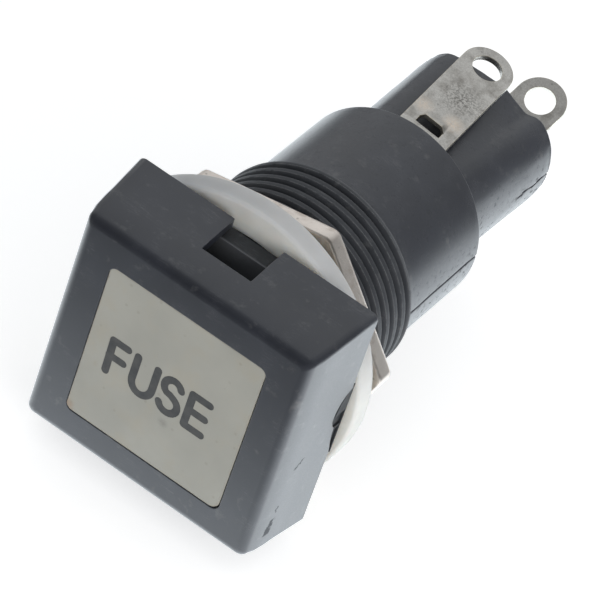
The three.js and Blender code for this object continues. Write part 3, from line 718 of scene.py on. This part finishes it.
def cap_moulding():
    """The cap's shell: rounded front edge, faintly swollen walls, two catches inside."""
    sections = []
    for k in range(7):
        angle = pi / 2 * k / 6
        inset = CAP_EDGE * (1 - sin(angle))
        half = CAP_FRONT_HALF - inset
        corner = max(0.2, CAP_CORNER - inset / 3)
        sections.append((CAP_FACE + CAP_EDGE * (1 - cos(angle)), half, half, corner))
    for y, bulge in ((-5.4, 0.012), (-4.4, 0.026), (-3.4, 0), (-2.6, 0), (CAP_RIM, 0)):
        share = (y - CAP_FACE) / (CAP_RIM - CAP_FACE)
        half = CAP_FRONT_HALF + (CAP_BACK_HALF - CAP_FRONT_HALF) * share + bulge
        sections.append((y, half, half, CAP_CORNER))
    cap = stacked("cap_moulding", sections)
    front_half = CAP_FRONT_HALF - CAP_WALL
    back_half = CAP_BACK_HALF - CAP_WALL
    cavity = stacked("cavity", [
        (CAVITY_FRONT, front_half, front_half, 0.25),
        (CAP_RIM, back_half, back_half, 0.25),
        (CAP_RIM + 1, back_half, back_half, 0.25),
    ])
    half_x = label_high.x + POCKET_GAP
    half_z = (label_high.z - label_low.z) / 2 + POCKET_GAP / 10
    pocket = stacked("pocket", [
        (CAP_FACE - 1, half_x, half_z, 0.55),
        (label_high.y + 0.05, half_x, half_z, 0.55),
    ], LABEL_MIDDLE)
    moved(pocket, Matrix.Translation((POCKET_SHIFT, 0, 0)))
    notch = brick((-NOTCH_HALF, NOTCH_HALF), (CAP_RIM - NOTCH_DEPTH, CAP_RIM + 1),
                  (front_half - 1, CAP_BACK_HALF + 1))
    bite = scallop(front_half - 1, CAP_BACK_HALF + 1, 0.5)
    carved(cap, cavity)
    for side in (-1, 1):
        reach = sorted((side * CATCH_INNER, side * back_half))
        catch = brick(reach, (CATCH_FRONT, CATCH_FRONT + 0.6), (-2.5, 2.5))
        joined(cap, catch)
    carved(cap, pocket, notch, bite)
    return softened(cap, 0.07)


set_down(cap_moulding(), CAP_PLASTIC, "carrier", "cap_plastic", "cap_shell")


# Label and its word, in plain strokes of one width
def label_film():
    x, z_low, z_high = label_high.x, label_low.z, label_high.z
    outline = eased([
        (x, z_low, 0.7), (x, z_high, 0.4), (-x, z_high, 0.3), (-x, z_low, 0.35),
    ], 6)
    return softened(prism("label_film", outline, label_low.y, label_high.y, "xzy"), 0.04, 3, 40)


def stroke(path, width, low, high):
    """A flat stroke with round ends along a path of (x, z)."""
    path = [Vector(point) for point in path]
    left, right = [], []
    for i, point in enumerate(path):
        ahead = (path[min(i + 1, len(path) - 1)] - path[max(i - 1, 0)]).normalized()
        side = Vector((-ahead.y, ahead.x)) * width / 2
        left.append(point + side)
        right.append(point - side)
    ends = []
    for at, side in ((path[-1], left[-1] - path[-1]), (path[0], right[0] - path[0])):
        ends.append([at + Vector((side.x * a + side.y * b, side.y * a - side.x * b))
                     for a, b in circle(1, 16)[1:8]])
    outline = left + ends[0] + right[::-1] + ends[1]
    return prism("stroke", [tuple(p) for p in outline], low, high, "xzy")


def arc(centre, radius_x, radius_z, start, end, steps=16):
    """Points on an ellipse from one angle to another, in degrees."""
    turns = [radians(start + (end - start) * k / steps) for k in range(steps + 1)]
    return [(centre[0] + radius_x * cos(a), centre[1] + radius_z * sin(a)) for a in turns]


def word():
    """The function word of the cap, letter by letter."""
    top, middle, bottom = 0.93, -0.32, -1.6
    f, u, s, e = -4.18, -2.28, 0.52, 1.92
    bowl = bottom + 0.8
    strokes = [
        [(f, top), (f + 0.05, bottom)], [(f, top), (f + 1.12, top)],
        [(f, middle), (f + 1.05, middle)],
        [(u, top)] + arc((u + 0.76, bowl), 0.76, 0.85, 180, 360) + [(u + 1.52, top)],
        arc((s, 0.35), 0.62, 0.62, 20, 235, 12) + [(s, -0.23)]
        + arc((s, -0.97), 0.68, 0.66, 60, -160, 12),
        [(e, top), (e, bottom)], [(e, top), (e + 1.28, top)],
        [(e, middle), (e + 1.22, middle)], [(e, bottom), (e + 1.3, bottom)],
    ]
    low, high = label_low.y - 0.012, label_low.y + 0.05
    whole = None
    for path in strokes:
        drawn = stroke(path, 0.54, low, high)
        whole = joined(whole, drawn) if whole else drawn
    whole.name = "label_word"
    return whole


set_down(label_film(), LABEL_FILM, "carrier", "label_film", "label_plate")
set_down(word(), LABEL_INK, "carrier", "label_film")


# Body: flange, threaded barrel, smooth shank and rear block
body_low, body_high = span("holder_body")
BODY_END = body_high.y
FLANGE_HALF = 8.1
BORE = 4.35
CHAMBER = 3.45
PLUG_BORE = 3.65
BORE_END = 13
PLUG_FRONT = span("rear_plug")[0].y
THREAD_CREST = 7.45
THREAD_ROOT = 6.85
THREAD_PITCH = 0.92
THREAD_END = 10.12
SHANK_START = 10.0
SHANK_RADIUS = 6.9
SHANK_END = 18.85
MOULD_ANGLE = 86
ROUNDING = 0.25
BLOCK_FRONT_RADIUS = 5.4
BLOCK_SPREAD = 0.25
HOLLOW_MIDDLE = 2.75
SLOT_HALF = 1.98
SLOT_LOW = 4.3
SLOT_HIGH = 5.45


def bore_tool():
    return turned("bore", [
        (0, -3), (BORE, -3), (BORE, BORE_END), (CHAMBER, BORE_END),
        (CHAMBER, PLUG_FRONT - 0.05), (PLUG_BORE, PLUG_FRONT - 0.05),
        (PLUG_BORE, BODY_END + 1), (0, BODY_END + 1),
    ], 96)


def flange():
    """The square flange, with the key that fills the cap's scallop."""
    half = FLANGE_HALF
    rim = 0.03
    part = stacked("holder_flange", [
        (body_low.y, half - rim, half - rim, 0.4), (body_low.y + rim, half, half, 0.5),
        (0.0, half, half, 0.5),
    ])
    softened(carved(part, bore_tool()), 0.03)
    reach = body_high.x
    key = scallop(half - 1, reach, -0.02, 0.04)
    carved(key, brick((reach - 0.16, 12), (-3, -0.12), (-4, KEY_END)))
    rib = brick((half - 1, reach - 0.02), (-0.7, -0.05), RIB_AT)
    return joined(part, key, rib)


def thread():
    """A right-handed thread with rounded crests, and a run-out at its end."""
    profile = [(0.0, THREAD_ROOT), (0.08, THREAD_ROOT + 0.03), (0.2, THREAD_CREST - 0.16),
               (0.3, THREAD_CREST - 0.03), (0.5, THREAD_CREST), (0.7, THREAD_CREST - 0.03),
               (0.8, THREAD_CREST - 0.16), (0.92, THREAD_ROOT + 0.03)]
    per_turn = len(profile)
    turns = 15
    rows = per_turn * turns
    points, ids = [], []
    for i in range(ROUND + 1):
        angle = TURN * i / ROUND
        ids.append([])
        for j in range(rows + 1):
            if i == ROUND and j + per_turn <= rows:
                ids[i].append(ids[0][j + per_turn])
                continue
            share, radius = profile[j % per_turn]
            ids[i].append(len(points))
            y = THREAD_PITCH * (j // per_turn + share + i / ROUND - 2)
            points.append((radius * sin(angle), y, radius * cos(angle)))
    low = len(points)
    points += [(0, -1.5 * THREAD_PITCH, 0), (0, (turns - 1.5) * THREAD_PITCH, 0)]
    faces = []
    for i in range(ROUND):
        here, after = ids[i], ids[i + 1]
        faces += [(here[j], after[j], after[j + 1], here[j + 1]) for j in range(rows)]
        faces += [(low, after[0], here[0]), (low + 1, here[rows], after[rows])]
    for j in range(per_turn):
        faces += [(low, ids[0][j], ids[0][j + 1]),
                  (low + 1, ids[ROUND][rows - j], ids[ROUND][rows - j - 1])]
    barrel = solid("holder_thread", points, faces)
    envelope = turned("envelope", [
        (BORE, -0.02), (THREAD_CREST + 1, -0.02), (THREAD_CREST + 1, THREAD_END - 0.35),
        (THREAD_CREST, THREAD_END - 0.35), (THREAD_ROOT - 0.1, THREAD_END), (BORE, THREAD_END),
    ])
    return carved(barrel, envelope, operation="INTERSECT")


def shank():
    """The barrel behind the thread, with a faint mould line along each side."""
    turns = [d for d in range(0, 360, 3)
             if min(abs(d - MOULD_ANGLE), abs(d + MOULD_ANGLE - 360)) > 4]
    turns += [side * (MOULD_ANGLE + 0.3 * k) for side in (-1, 1) for k in range(-12, 13)]
    turns = sorted(d % 360 for d in turns)
    rows = [SHANK_START + 0.5 + 0.3 * k for k in range(int((SHANK_END - SHANK_START - 0.6) / 0.3))]
    profile = eased([
        (BORE, SHANK_START), (6.62, SHANK_START), (6.62, SHANK_START + 0.2, 0.04),
        (SHANK_RADIUS - 0.1, SHANK_START + 0.23, 0.03), (SHANK_RADIUS, SHANK_START + 0.36, 0.06),
    ] + [(SHANK_RADIUS, y) for y in rows] + [
        (SHANK_RADIUS, SHANK_END, 0.09), (BORE, SHANK_END),
    ], 5)
    part = turned("holder_shank", profile, angles=[radians(d) for d in turns])
    for vertex in part.data.vertices:
        x, y, z = vertex.co
        out = hypot(x, z)
        if out < 6 or y < SHANK_START + 0.6:
            continue
        angle = degrees(atan2(x, z))
        wander = 1.3 * rough_at(0.7, y * 0.42, 4.2)
        off = abs(abs(angle) - MOULD_ANGLE - wander)
        depth = 0.09 * exp(-(off / 0.6) ** 2)
        ripple = 0.012 * rough_at(x * 0.4, y * 0.25, z * 0.4)
        factor = (out - depth + ripple - 0.012) / out
        vertex.co = (x * factor, y, z * factor)
    slot = brick((-SLOT_HALF, SLOT_HALF), (SHANK_START + 1, SHANK_END + 1), (SLOT_LOW, SLOT_HIGH))
    return carved(part, slot)


def rear_block():
    """The block with a flat on top, a hollow beside it, a crack and a ragged end."""
    flat_steps = 48
    crack_at = MOULD_ANGLE + 2.5
    round_part = [1.5 * k for k in range(28, 213)
                  if min(abs(1.5 * k - crack_at), abs(1.5 * k + crack_at - 360)) > 7.5]
    round_part += [side * (crack_at + 0.35 * k) % 360 for side in (-1, 1) for k in range(-20, 21)]
    round_part = [radians(d) for d in sorted(round_part)]
    heights = [17.9, 18.9, 20, 21, 22, 23, 24, 25] + [25.4 + 0.3 * k for k in range(14)]
    heights += [29.5, 29.65, 29.8, 29.92]
    rings = []
    for y in heights:
        radius = BLOCK_FRONT_RADIUS + BLOCK_SPREAD * (y - 17.85) / 12
        corner = acos(SLOT_LOW / radius)
        spots = [(SLOT_LOW * tan(corner * (2 * k / flat_steps - 1)), SLOT_LOW)
                 for k in range(flat_steps)]
        spots += [(radius * sin(a), radius * cos(a)) for a in [corner] + round_part]
        ring = []
        for x, z in spots:
            out = hypot(x, z)
            angle = degrees(atan2(x, z))
            near_end = smooth(y, 29.2, 29.92)
            rough = rough_at(x * 2.7, 3.1, z * 2.7)
            shrink = (0.02 + 0.02 * rough_at(x * 0.9, y * 0.5, z * 0.9)
                      + near_end * (0.05 + 0.05 * rough))
            flat_reach = SLOT_LOW / max(0.2, cos(radians(angle)))
            shrink += ROUNDING * log1p(exp(-abs(flat_reach - radius) / ROUNDING))
            track = crack_at + 4 * rough_at(2.6, y * 1.1, 1.1)
            ragged = 0.6 + 0.5 * rough_at(5.2, y * 3.0, 0.4)
            crack = exp(-((abs(angle) - track) / (0.9 * ragged)) ** 2)
            shrink += 0.3 * ragged * crack * smooth(y, 25.6, 27.2)
            reach = 1.95 if x < HOLLOW_MIDDLE else 2.4
            hollow = max(0, 1.05 - hypot((x - HOLLOW_MIDDLE) / reach, 0.08))
            dip = hollow * (0.3 * smooth(y, 19, 25) + 0.6 * smooth(y, 24, 30.2))
            factor = (out - shrink) / out
            sunk = dip if z > 0 else 0
            ring.append((x * factor, y + near_end * 0.08 * rough, z * factor - sunk))
        rings.append(ring)
    last = rings[-1]
    for factor, gap in ((0.96, 0.04), (0.9, 0.02)):
        rings.append([(x * factor, BODY_END - gap, z * factor) for x, _, z in last])
    return carved(lofted("holder_rear_block", rings), bore_tool())


for form, finish in ((shank, BODY_PLASTIC), (rear_block, BODY_PLASTIC),
                     (flange, FLANGE_PLASTIC), (thread, THREAD_PLASTIC)):
    set_down(form(), finish, "body", "body_plastic", "holder_body", sharp=30)


# Side terminal: a strip with a lanced tab, whose tongue reaches into the barrel
STRIP_HALF = 1.83
STRIP = 0.45
LUG_HOLE = 1.05
SIDE_HOLE = 10.7
SIDE_START = 18.25
STRIP_LOW = 4.65
TAB_FRONT = 3.35
TAB_BACK = 4.55


def lug_plate(name, hole_at):
    """A strip on z = 0 that runs along +Y to a round end with a solder hole."""
    outline = [(-STRIP_HALF, 0), (STRIP_HALF, 0)]
    outline += [(a, hole_at + b) for a, b in circle(STRIP_HALF, 64)[:33]]
    hole = [(a, hole_at + b) for a, b in circle(LUG_HOLE, SMALL_ROUND)]
    return carved(prism(name, outline, 0, STRIP), prism("lug_hole", hole, -1, 1))


def tab_dome():
    """The raised lip behind the lanced slot."""
    columns, rows = 16, 12
    top, bottom = [], []
    for j in range(rows + 1):
        y = TAB_FRONT + (TAB_BACK + 0.1 - TAB_FRONT) * j / rows
        for i in range(columns + 1):
            x = 1.02 * (2 * i / columns - 1)
            lift = 0.4 * (1 - smooth(y, TAB_FRONT, TAB_BACK)) * (1 - smooth(abs(x), 0.62, 1.0))
            edge = 0.02 * (1 - smooth(abs(x), 0.9, 1.02))
            top.append((x, y, STRIP + lift - 0.02 + edge))
            bottom.append((x, y, STRIP + lift - 0.3))
    across = columns + 1
    count = len(top)
    faces = []
    for j in range(rows):
        for i in range(columns):
            a = j * across + i
            quad = (a, a + 1, a + across + 1, a + across)
            faces += [quad, [count + corner for corner in quad]]
    rim = list(range(across))
    rim += [(k + 1) * across + columns for k in range(rows)]
    rim += [rows * across + columns - 1 - k for k in range(columns)]
    rim += [(rows - 1 - k) * across for k in range(rows - 1)]
    faces += band(rim, [count + r for r in rim])
    return solid("tab", top + bottom, faces)


def side_strip():
    """The strip outside with its tab, turned as seen, and the tongue inside."""
    strip = lug_plate("side_strip", SIDE_HOLE)
    window = brick((-0.92, 0.92), (TAB_FRONT - 0.55, TAB_FRONT + 0.75), (-1, 1))
    softened(carved(strip, window), 0.06)
    joined(strip, tab_dome())
    laid(strip, (0, SIDE_START, STRIP_LOW), 3.2, 2.7, 9.5)
    inner = prism("tongue", [
        (3.4, 3.65), (4.6, 3.05), (10, STRIP_LOW), (18.6, STRIP_LOW), (18.6, STRIP_LOW + STRIP),
        (10, STRIP_LOW + STRIP), (4.6, 3.05 + STRIP), (3.4, 3.65 + STRIP),
    ], -STRIP_HALF, STRIP_HALF, "yzx")
    trims = [brick((side * 3 - 1.7, side * 3 + 1.7), (0, 10), (0, 8)) for side in (-1, 1)]
    softened(carved(inner, *trims), 0.05, 2, 40)
    return joined(strip, inner)


set_down(side_strip(), TINNED, "body", "tinned_brass", "side_terminal")


# Rear terminal: a riveted foot across the plug and a lug bent back from its lower edge
FOOT_FRONT = 30.1
LUG_DROP = 4.3


def rear_strip():
    """The bent lug and the foot that the rivet holds."""
    lug = softened(lug_plate("rear_strip", 7.8), 0.06)
    laid(lug, (0, FOOT_FRONT + STRIP / 4, -LUG_DROP - STRIP / 2), -6.3, 22.4, 4.3)
    keep = brick((-4, 4), (FOOT_FRONT - 1, FOOT_FRONT), (-9, 0))
    carved(lug, keep)
    foot = brick((-STRIP_HALF, STRIP_HALF), (FOOT_FRONT, FOOT_FRONT + STRIP), (-LUG_DROP, 1.75))
    hole = turned("rivet_hole", [(0, 29), (1, 29), (1, 32), (0, 32)], SMALL_ROUND)
    softened(carved(foot, hole), 0.05)
    return joined(lug, foot)


set_down(rear_strip(), TINNED, "body", "tinned_brass", "rear_terminal")


def lathe_piece(name, corners, material, body, slot, node, steps=SMALL_ROUND):
    """A turned piece with eased corners that stands for one CAD node."""
    set_down(turned(name, eased(corners), steps), material, body, slot, node)


# Rear plug, rivet, spring seat, contact spring and contact cup
cup_low, cup_high = span("rear_contact_cup")
spring_low, spring_high = span("contact_spring")
seat_low, seat_high = span("spring_seat")
rivet_low, rivet_high = span("rear_rivet")
plug_low, plug_high = span("rear_plug")
CUP_BACK = spring_low.y - 0.05

lathe_piece("rear_plug_disc",
            ring_profile(1.0, plug_high.x, plug_low.y, plug_high.y, 0.1, 0.15, 0.15),
            PLUG_PLASTIC, "body", "plug_plastic", "rear_plug", ROUND)
lathe_piece("rivet_turned", [
    (0, rivet_low.y), (1.45, rivet_low.y, 0.12), (1.45, rivet_low.y + 0.4, 0.08),
    (0.9, rivet_low.y + 0.4), (0.9, rivet_high.y - 0.4), (1.45, rivet_high.y - 0.4, 0.08),
    (1.38, rivet_high.y - 0.12, 0.2), (0.9, rivet_high.y, 0.3), (0.35, rivet_high.y - 0.02, 0.1),
    (0, rivet_high.y - 0.12),
], CONTACT_BRASS, "body", "contact_brass", "rear_rivet")
lathe_piece("spring_seat_ring",
            ring_profile(1.0, seat_high.x, seat_low.y, seat_high.y, 0.06, 0.1, 0.1),
            CONTACT_BRASS, "body", "contact_brass", "spring_seat")
lathe_piece("contact_cup_turned", [
    (0, cup_low.y + 0.75), (2.55, cup_low.y + 0.72, 0.15), (2.75, cup_low.y + 0.1, 0.1),
    (2.95, cup_low.y, 0.08), (cup_high.x, cup_low.y, 0.08), (cup_high.x, CUP_BACK, 0.18),
    (1.2, CUP_BACK, 0.08), (1.2, cup_high.y, 0.15), (0, cup_high.y),
], CONTACT_BRASS, "rear_contact", "contact_brass", "rear_contact_cup")


def spring_wire():
    """A helix with closed end coils, between the cup and its seat."""
    wire, coil = 0.2, 1.94
    curls, steps = 6, 24
    path = []
    for k in range(curls * steps + 1):
        share = k / (curls * steps)
        lead = 0.3 * share + 0.7 * smooth(share, 0.08, 0.92)
        y = spring_low.y + wire + (spring_high.y - spring_low.y - 2 * wire) * lead
        angle = TURN * k / steps
        path.append((coil * sin(angle), y, coil * cos(angle)))
    return swept("contact_spring_wire", path, wire - 0.005, 10)


spring = set_down(spring_wire(), SPRING_STEEL, "body", "spring_steel", "contact_spring")
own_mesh(spring)


# Washer and nut on the barrel
washer_low, washer_high = span("panel_washer")
nut_low, nut_high = span("panel_nut")
WASHER_RADIUS = (washer_high.x - washer_low.x) / 2
WASHER_BORE = 8.12
NUT_BORE = 7.55
NUT_CORNER = 9.93
NUT_TURN = 71


def washer():
    """A plain ring that hangs a little off the barrel's axis."""
    profile = ring_profile(WASHER_BORE, WASHER_RADIUS, washer_low.y, washer_high.y,
                           0.12, 0.24, 0.16)
    ring = turned("washer_ring", eased(profile, 6), 160)
    middle = (washer_low + washer_high) / 2
    return moved(ring, Matrix.Translation((middle.x, 0, middle.z)))


set_down(washer(), WASHER_PLASTIC, "washer", "washer_plastic", "panel_washer")


def hex_nut():
    """A nut with turned chamfers and grooves for its thread."""
    low, high = nut_low.y, nut_high.y
    rings = []
    for y, inset in ((low, 0.12), (low + 0.12, 0), (high - 0.5, 0), (high - 0.3, 0.07),
                     (high - 0.14, 0.2), (high - 0.04, 0.36), (high, 0.52)):
        corners = circle(NUT_CORNER - inset, 6, radians(NUT_TURN))
        rings.append([(x, y, z) for x, z in eased([(*c, 0.6) for c in corners], 5)])
    nut = lofted("hex_nut", rings)
    envelope = turned("envelope", [
        (0, low), (NUT_CORNER - 0.12, low), (NUT_CORNER + 0.02, low + 0.1),
        (NUT_CORNER + 0.02, high - 0.36), (NUT_CORNER - 0.95, high), (0, high),
    ])
    grooves = [(0, low - 1), (NUT_BORE + 0.35, low - 0.05), (NUT_BORE, low + 0.25)]
    for k in range(2):
        middle = low + 0.5 + 0.5 * k
        grooves += [(NUT_BORE, middle - 0.12), (NUT_BORE + 0.22, middle), (NUT_BORE, middle + 0.12)]
    grooves += [(NUT_BORE, high - 0.25), (NUT_BORE + 0.35, high + 0.05), (0, high + 1)]
    carved(nut, envelope, operation="INTERSECT")
    return softened(carved(nut, turned("nut_bore", grooves)), 0.05, 2, 25)


set_down(hex_nut(), NUT_NICKEL, "nut", "nut_nickel", "panel_nut")


# Carrier behind the cap, with the clip that grips the fuse
carrier_low, carrier_high = span("fuse_carrier")
clip_low, clip_high = span("fuse_clip")
CARRIER_RADIUS = 4.0
CARRIER_BORE = 3.05
CARRIER_FLOOR = 1.45


def carrier():
    """The carrier's square head and its hollow, slotted stem."""
    half, front, back = carrier_high.x, carrier_low.y, carrier_high.y
    head = softened(stacked("fuse_carrier_stem", [
        (front, half, half, 0.5), (front + 1.3, half, half, 0.5),
    ]), 0.12)
    stem = turned("stem", eased([
        (0, front + 0.6), (CARRIER_RADIUS + 0.5, front + 0.6),
        (CARRIER_RADIUS + 0.5, front + 1.9, 0.1), (CARRIER_RADIUS, front + 2.3, 0.2),
        (CARRIER_RADIUS, back - 0.5, 0.3),
        (CARRIER_RADIUS - 0.35, back), (0, back),
    ]), 96)
    hole = turned("hole", [
        (0, CARRIER_FLOOR), (CARRIER_BORE, CARRIER_FLOOR), (CARRIER_BORE, back - 0.3),
        (CARRIER_BORE + 0.3, back + 0.1), (0, back + 0.1),
    ], 96)
    slot = brick((-1.6, 1.6), (3.1, back + 1), (0, 5))
    joined(head, stem)
    return softened(carved(head, hole, slot), 0.05, 2, 55)


def clip():
    """A split spring sleeve with two pressed ribs that bear on the fuse."""
    outer, inner = clip_high.x, clip_high.x - 0.25
    gap = radians(25)
    steps, rows = 56, 20
    rings = []
    for k in range(steps + 1):
        angle = -pi / 2 + gap + (TURN - 2 * gap) * k / steps
        ring = []
        for radius, order in ((outer, range(rows + 1)), (inner, range(rows, -1, -1))):
            for row in order:
                y = clip_low.y + (clip_high.y - clip_low.y) * row / rows
                ribs = [exp(-((y - clip_low.y - at) / 0.22) ** 2) for at in (1.1, 2.9)]
                reach = radius - 0.07 * sum(ribs)
                ring.append((reach * cos(angle), y, reach * sin(angle)))
        rings.append(ring)
    return lofted("fuse_clip_sleeve", rings)


set_down(carrier(), CARRIER_PLASTIC, "carrier", "carrier_plastic", "fuse_carrier")
set_down(clip(), CONTACT_BRASS, "carrier", "contact_brass", "fuse_clip")


# Fuse: a glass tube, two end caps soldered to a thin wire
glass_low, glass_high = span("fuse_glass_tube")
lathe_piece("fuse_glass_cylinder",
            ring_profile(glass_high.x - 0.5, glass_high.x, glass_low.y, glass_high.y,
                         0.12, 0.12, 0.12),
            GLASS, "fuse", "fuse_glass", "fuse_glass_tube", 96)


def end_cap(end):
    """A drawn cap with a rounded end, a shallow dimple and a rolled lip."""
    node = f"fuse_{end}_cap"
    low, high = span(node)
    closed, open_end, way = (low.y, high.y, 1) if end == "front" else (high.y, low.y, -1)
    outer = high.x
    lathe_piece("fuse_end_cap_" + end, [
        (0, closed + way * 0.06), (0.55, closed + way * 0.05, 0.3), (0.95, closed, 0.2),
        (outer, closed, 0.4), (outer, open_end - way * 0.5), (outer - 0.04, open_end - way * 0.3),
        (outer, open_end - way * 0.12, 0.04), (outer - 0.08, open_end), (outer - 0.27, open_end),
        (outer - 0.27, closed + way * 0.27, 0.12), (0, closed + way * 0.27),
    ], FUSE_NICKEL, "fuse", "fuse_cap_nickel", node, 96)


def solder_blob(end):
    """A bead of solder that climbs towards the wire."""
    node = f"fuse_{end}_solder"
    low, high = span(node)
    radius = high.x
    base, tip = (low.y, high.y) if end == "front" else (high.y, low.y)
    rise = tip - base
    lathe_piece("solder_bead_" + end, [
        (0, base), (radius, base, 0.05), (radius * 0.86, base + rise * 0.35, 0.2),
        (radius * 0.45, base + rise * 0.75, 0.2), (radius * 0.2, tip, 0.05), (0, tip),
    ], SOLDER, "fuse", "solder", node)


for form in (end_cap, solder_blob):
    form("front")
    form("rear")


def element_wire():
    """The fuse's wire, which sags a little between its ends."""
    low, high = span("fuse_wire")
    path = []
    for k in range(41):
        share = k / 40
        y = low.y + (high.y - low.y) * share
        path.append((0.05 * sin(9 * share), y, -0.35 * sin(pi * share) ** 2))
    return swept("fuse_element_wire", path, 0.1, 10)


set_down(element_wire(), WIRE_SILVER, "fuse", "fuse_wire_silver", "fuse_wire")


# Floor, light and camera
UNDER_HOLDER = (0, 0.012, -0.01)
# A painted shadow on the floor under the barrel, seen only in reflections.
REFLECTED_SHADOW_SPOT = (0.003, 0.012, -0.0105)
GLOSS_FROM = Vector((-0.45, 0.55, 0.70)).normalized()
LENS = 321.55
EYE = (91.113, -229.203, 219.931)
EYE_RIGHT = (0.797379, 0.545152, 0.258835)
EYE_UP = (-0.540477, 0.454312, 0.708156)
EYE_BACK = (0.268461, -0.704563, 0.656901)


def views(tree):
    """What a glossy ray sees, and what the camera sees plainly or through glass."""
    ray = add(tree, "LightPath")
    seen = maths("MAXIMUM", ray["Is Camera Ray"], ray["Is Transmission Ray"])
    return ray["Is Glossy Ray"], seen


def floor_material():
    """A white floor that keeps a faint shadow. To glossy rays it glows bright behind the holder as
    a painted source of reflections, is darker elsewhere, and has a painted shadow under the barrel.
    """
    material, tree, shader = new_material("floor_white", 0.9)
    glossy, seen = views(tree)
    spot = add(tree, "TexCoord")["Object"]
    behind = maths("POWER", ranged(apart(spot)["Y"], -0.0275, -0.0095), 1.5)
    near = times(behind, ranged(distance(spot, UNDER_HOLDER), 0.09, 0.045))
    # The glossy glow is cut down under the barrel: a painted shadow seen in reflections.
    patch = ranged(distance(spot, REFLECTED_SHADOW_SPOT), 0.005, 0.0105, 0.2, 1)
    lit = times(near, patch)
    far = times(glossy, less(1.0, lit))
    base = mixed(far, (0.86, 0.86, 0.86, 1), (0.2, 0.2, 0.21, 1))
    glow = plus(times(seen, 0.55), times(times(glossy, lit), 1.3))
    tint = mixed(glossy, (1, 1, 1, 1), (0.86, 0.945, 1, 1))
    link(base, shader["Base Color"])
    link(tint, shader["Emission Color"])
    link(glow, shader["Emission Strength"])
    return material


def floor():
    half = 3000
    sheet = prism("floor", [(-half, -half), (half, -half), (half, half), (-half, half)],
                  washer_low.z - 5, washer_low.z - 0.02)
    sheet.data.transform(Matrix.Scale(MM, 4))
    sheet.data.materials.append(floor_material())


def surroundings():
    """A room of plain light, white to the camera and uneven in gloss."""
    world = bpy.data.worlds.new("white_room")
    bpy.context.scene.world = world
    world.use_nodes = True
    tree = world.node_tree
    tree.nodes.clear()
    glossy, seen = views(tree)
    toward = add(tree, "TexCoord")["Generated"]
    facing = vectors("DOT_PRODUCT", toward, GLOSS_FROM)
    sheen = times(ranged(facing, 0.0, 0.97, 0.12, 0.72),
                  ranged(apart(toward)["Y"], -0.3, 0.4, 0.35, 1.0))
    plain = times(less(1.0, glossy), 0.58)
    strength = maths("MAXIMUM", seen, plus(times(glossy, sheen), plain))
    light = add(tree, "Background", {"Color": (0.955, 0.98, 1, 1), "Strength": strength})
    add(tree, "OutputWorld", {"Surface": light[0]})


def lamp(name, place, size, power, colour):
    """A soft square lamp that faces the middle of the holder."""
    data = bpy.data.lights.new(name, "AREA")
    data.size = size * MM
    data.energy = power
    data.color = colour
    light = in_scene(name, data)
    light.location = Vector(place) * MM
    light.rotation_euler = (Vector((0, 12, 0)) - Vector(place)).to_track_quat("-Z", "Y").to_euler()
    light.visible_glossy = False


def camera():
    """The photograph's view: place, line of sight and roll."""
    data = bpy.data.cameras.new("camera")
    data.sensor_width = 36
    data.lens = LENS
    data.clip_start = 0.01
    data.clip_end = 50
    eye = in_scene("camera", data)
    turn = Matrix((EYE_RIGHT, EYE_UP, EYE_BACK)).transposed().to_4x4()
    eye.matrix_world = Matrix.Translation(Vector(EYE) * MM) @ turn
    bpy.context.scene.camera = eye


floor()
surroundings()
lamp("key", (250, -160, 60), 220, 0.6, (1, 0.98, 0.95))
camera()
bpy.context.scene.view_settings.view_transform = "Standard"
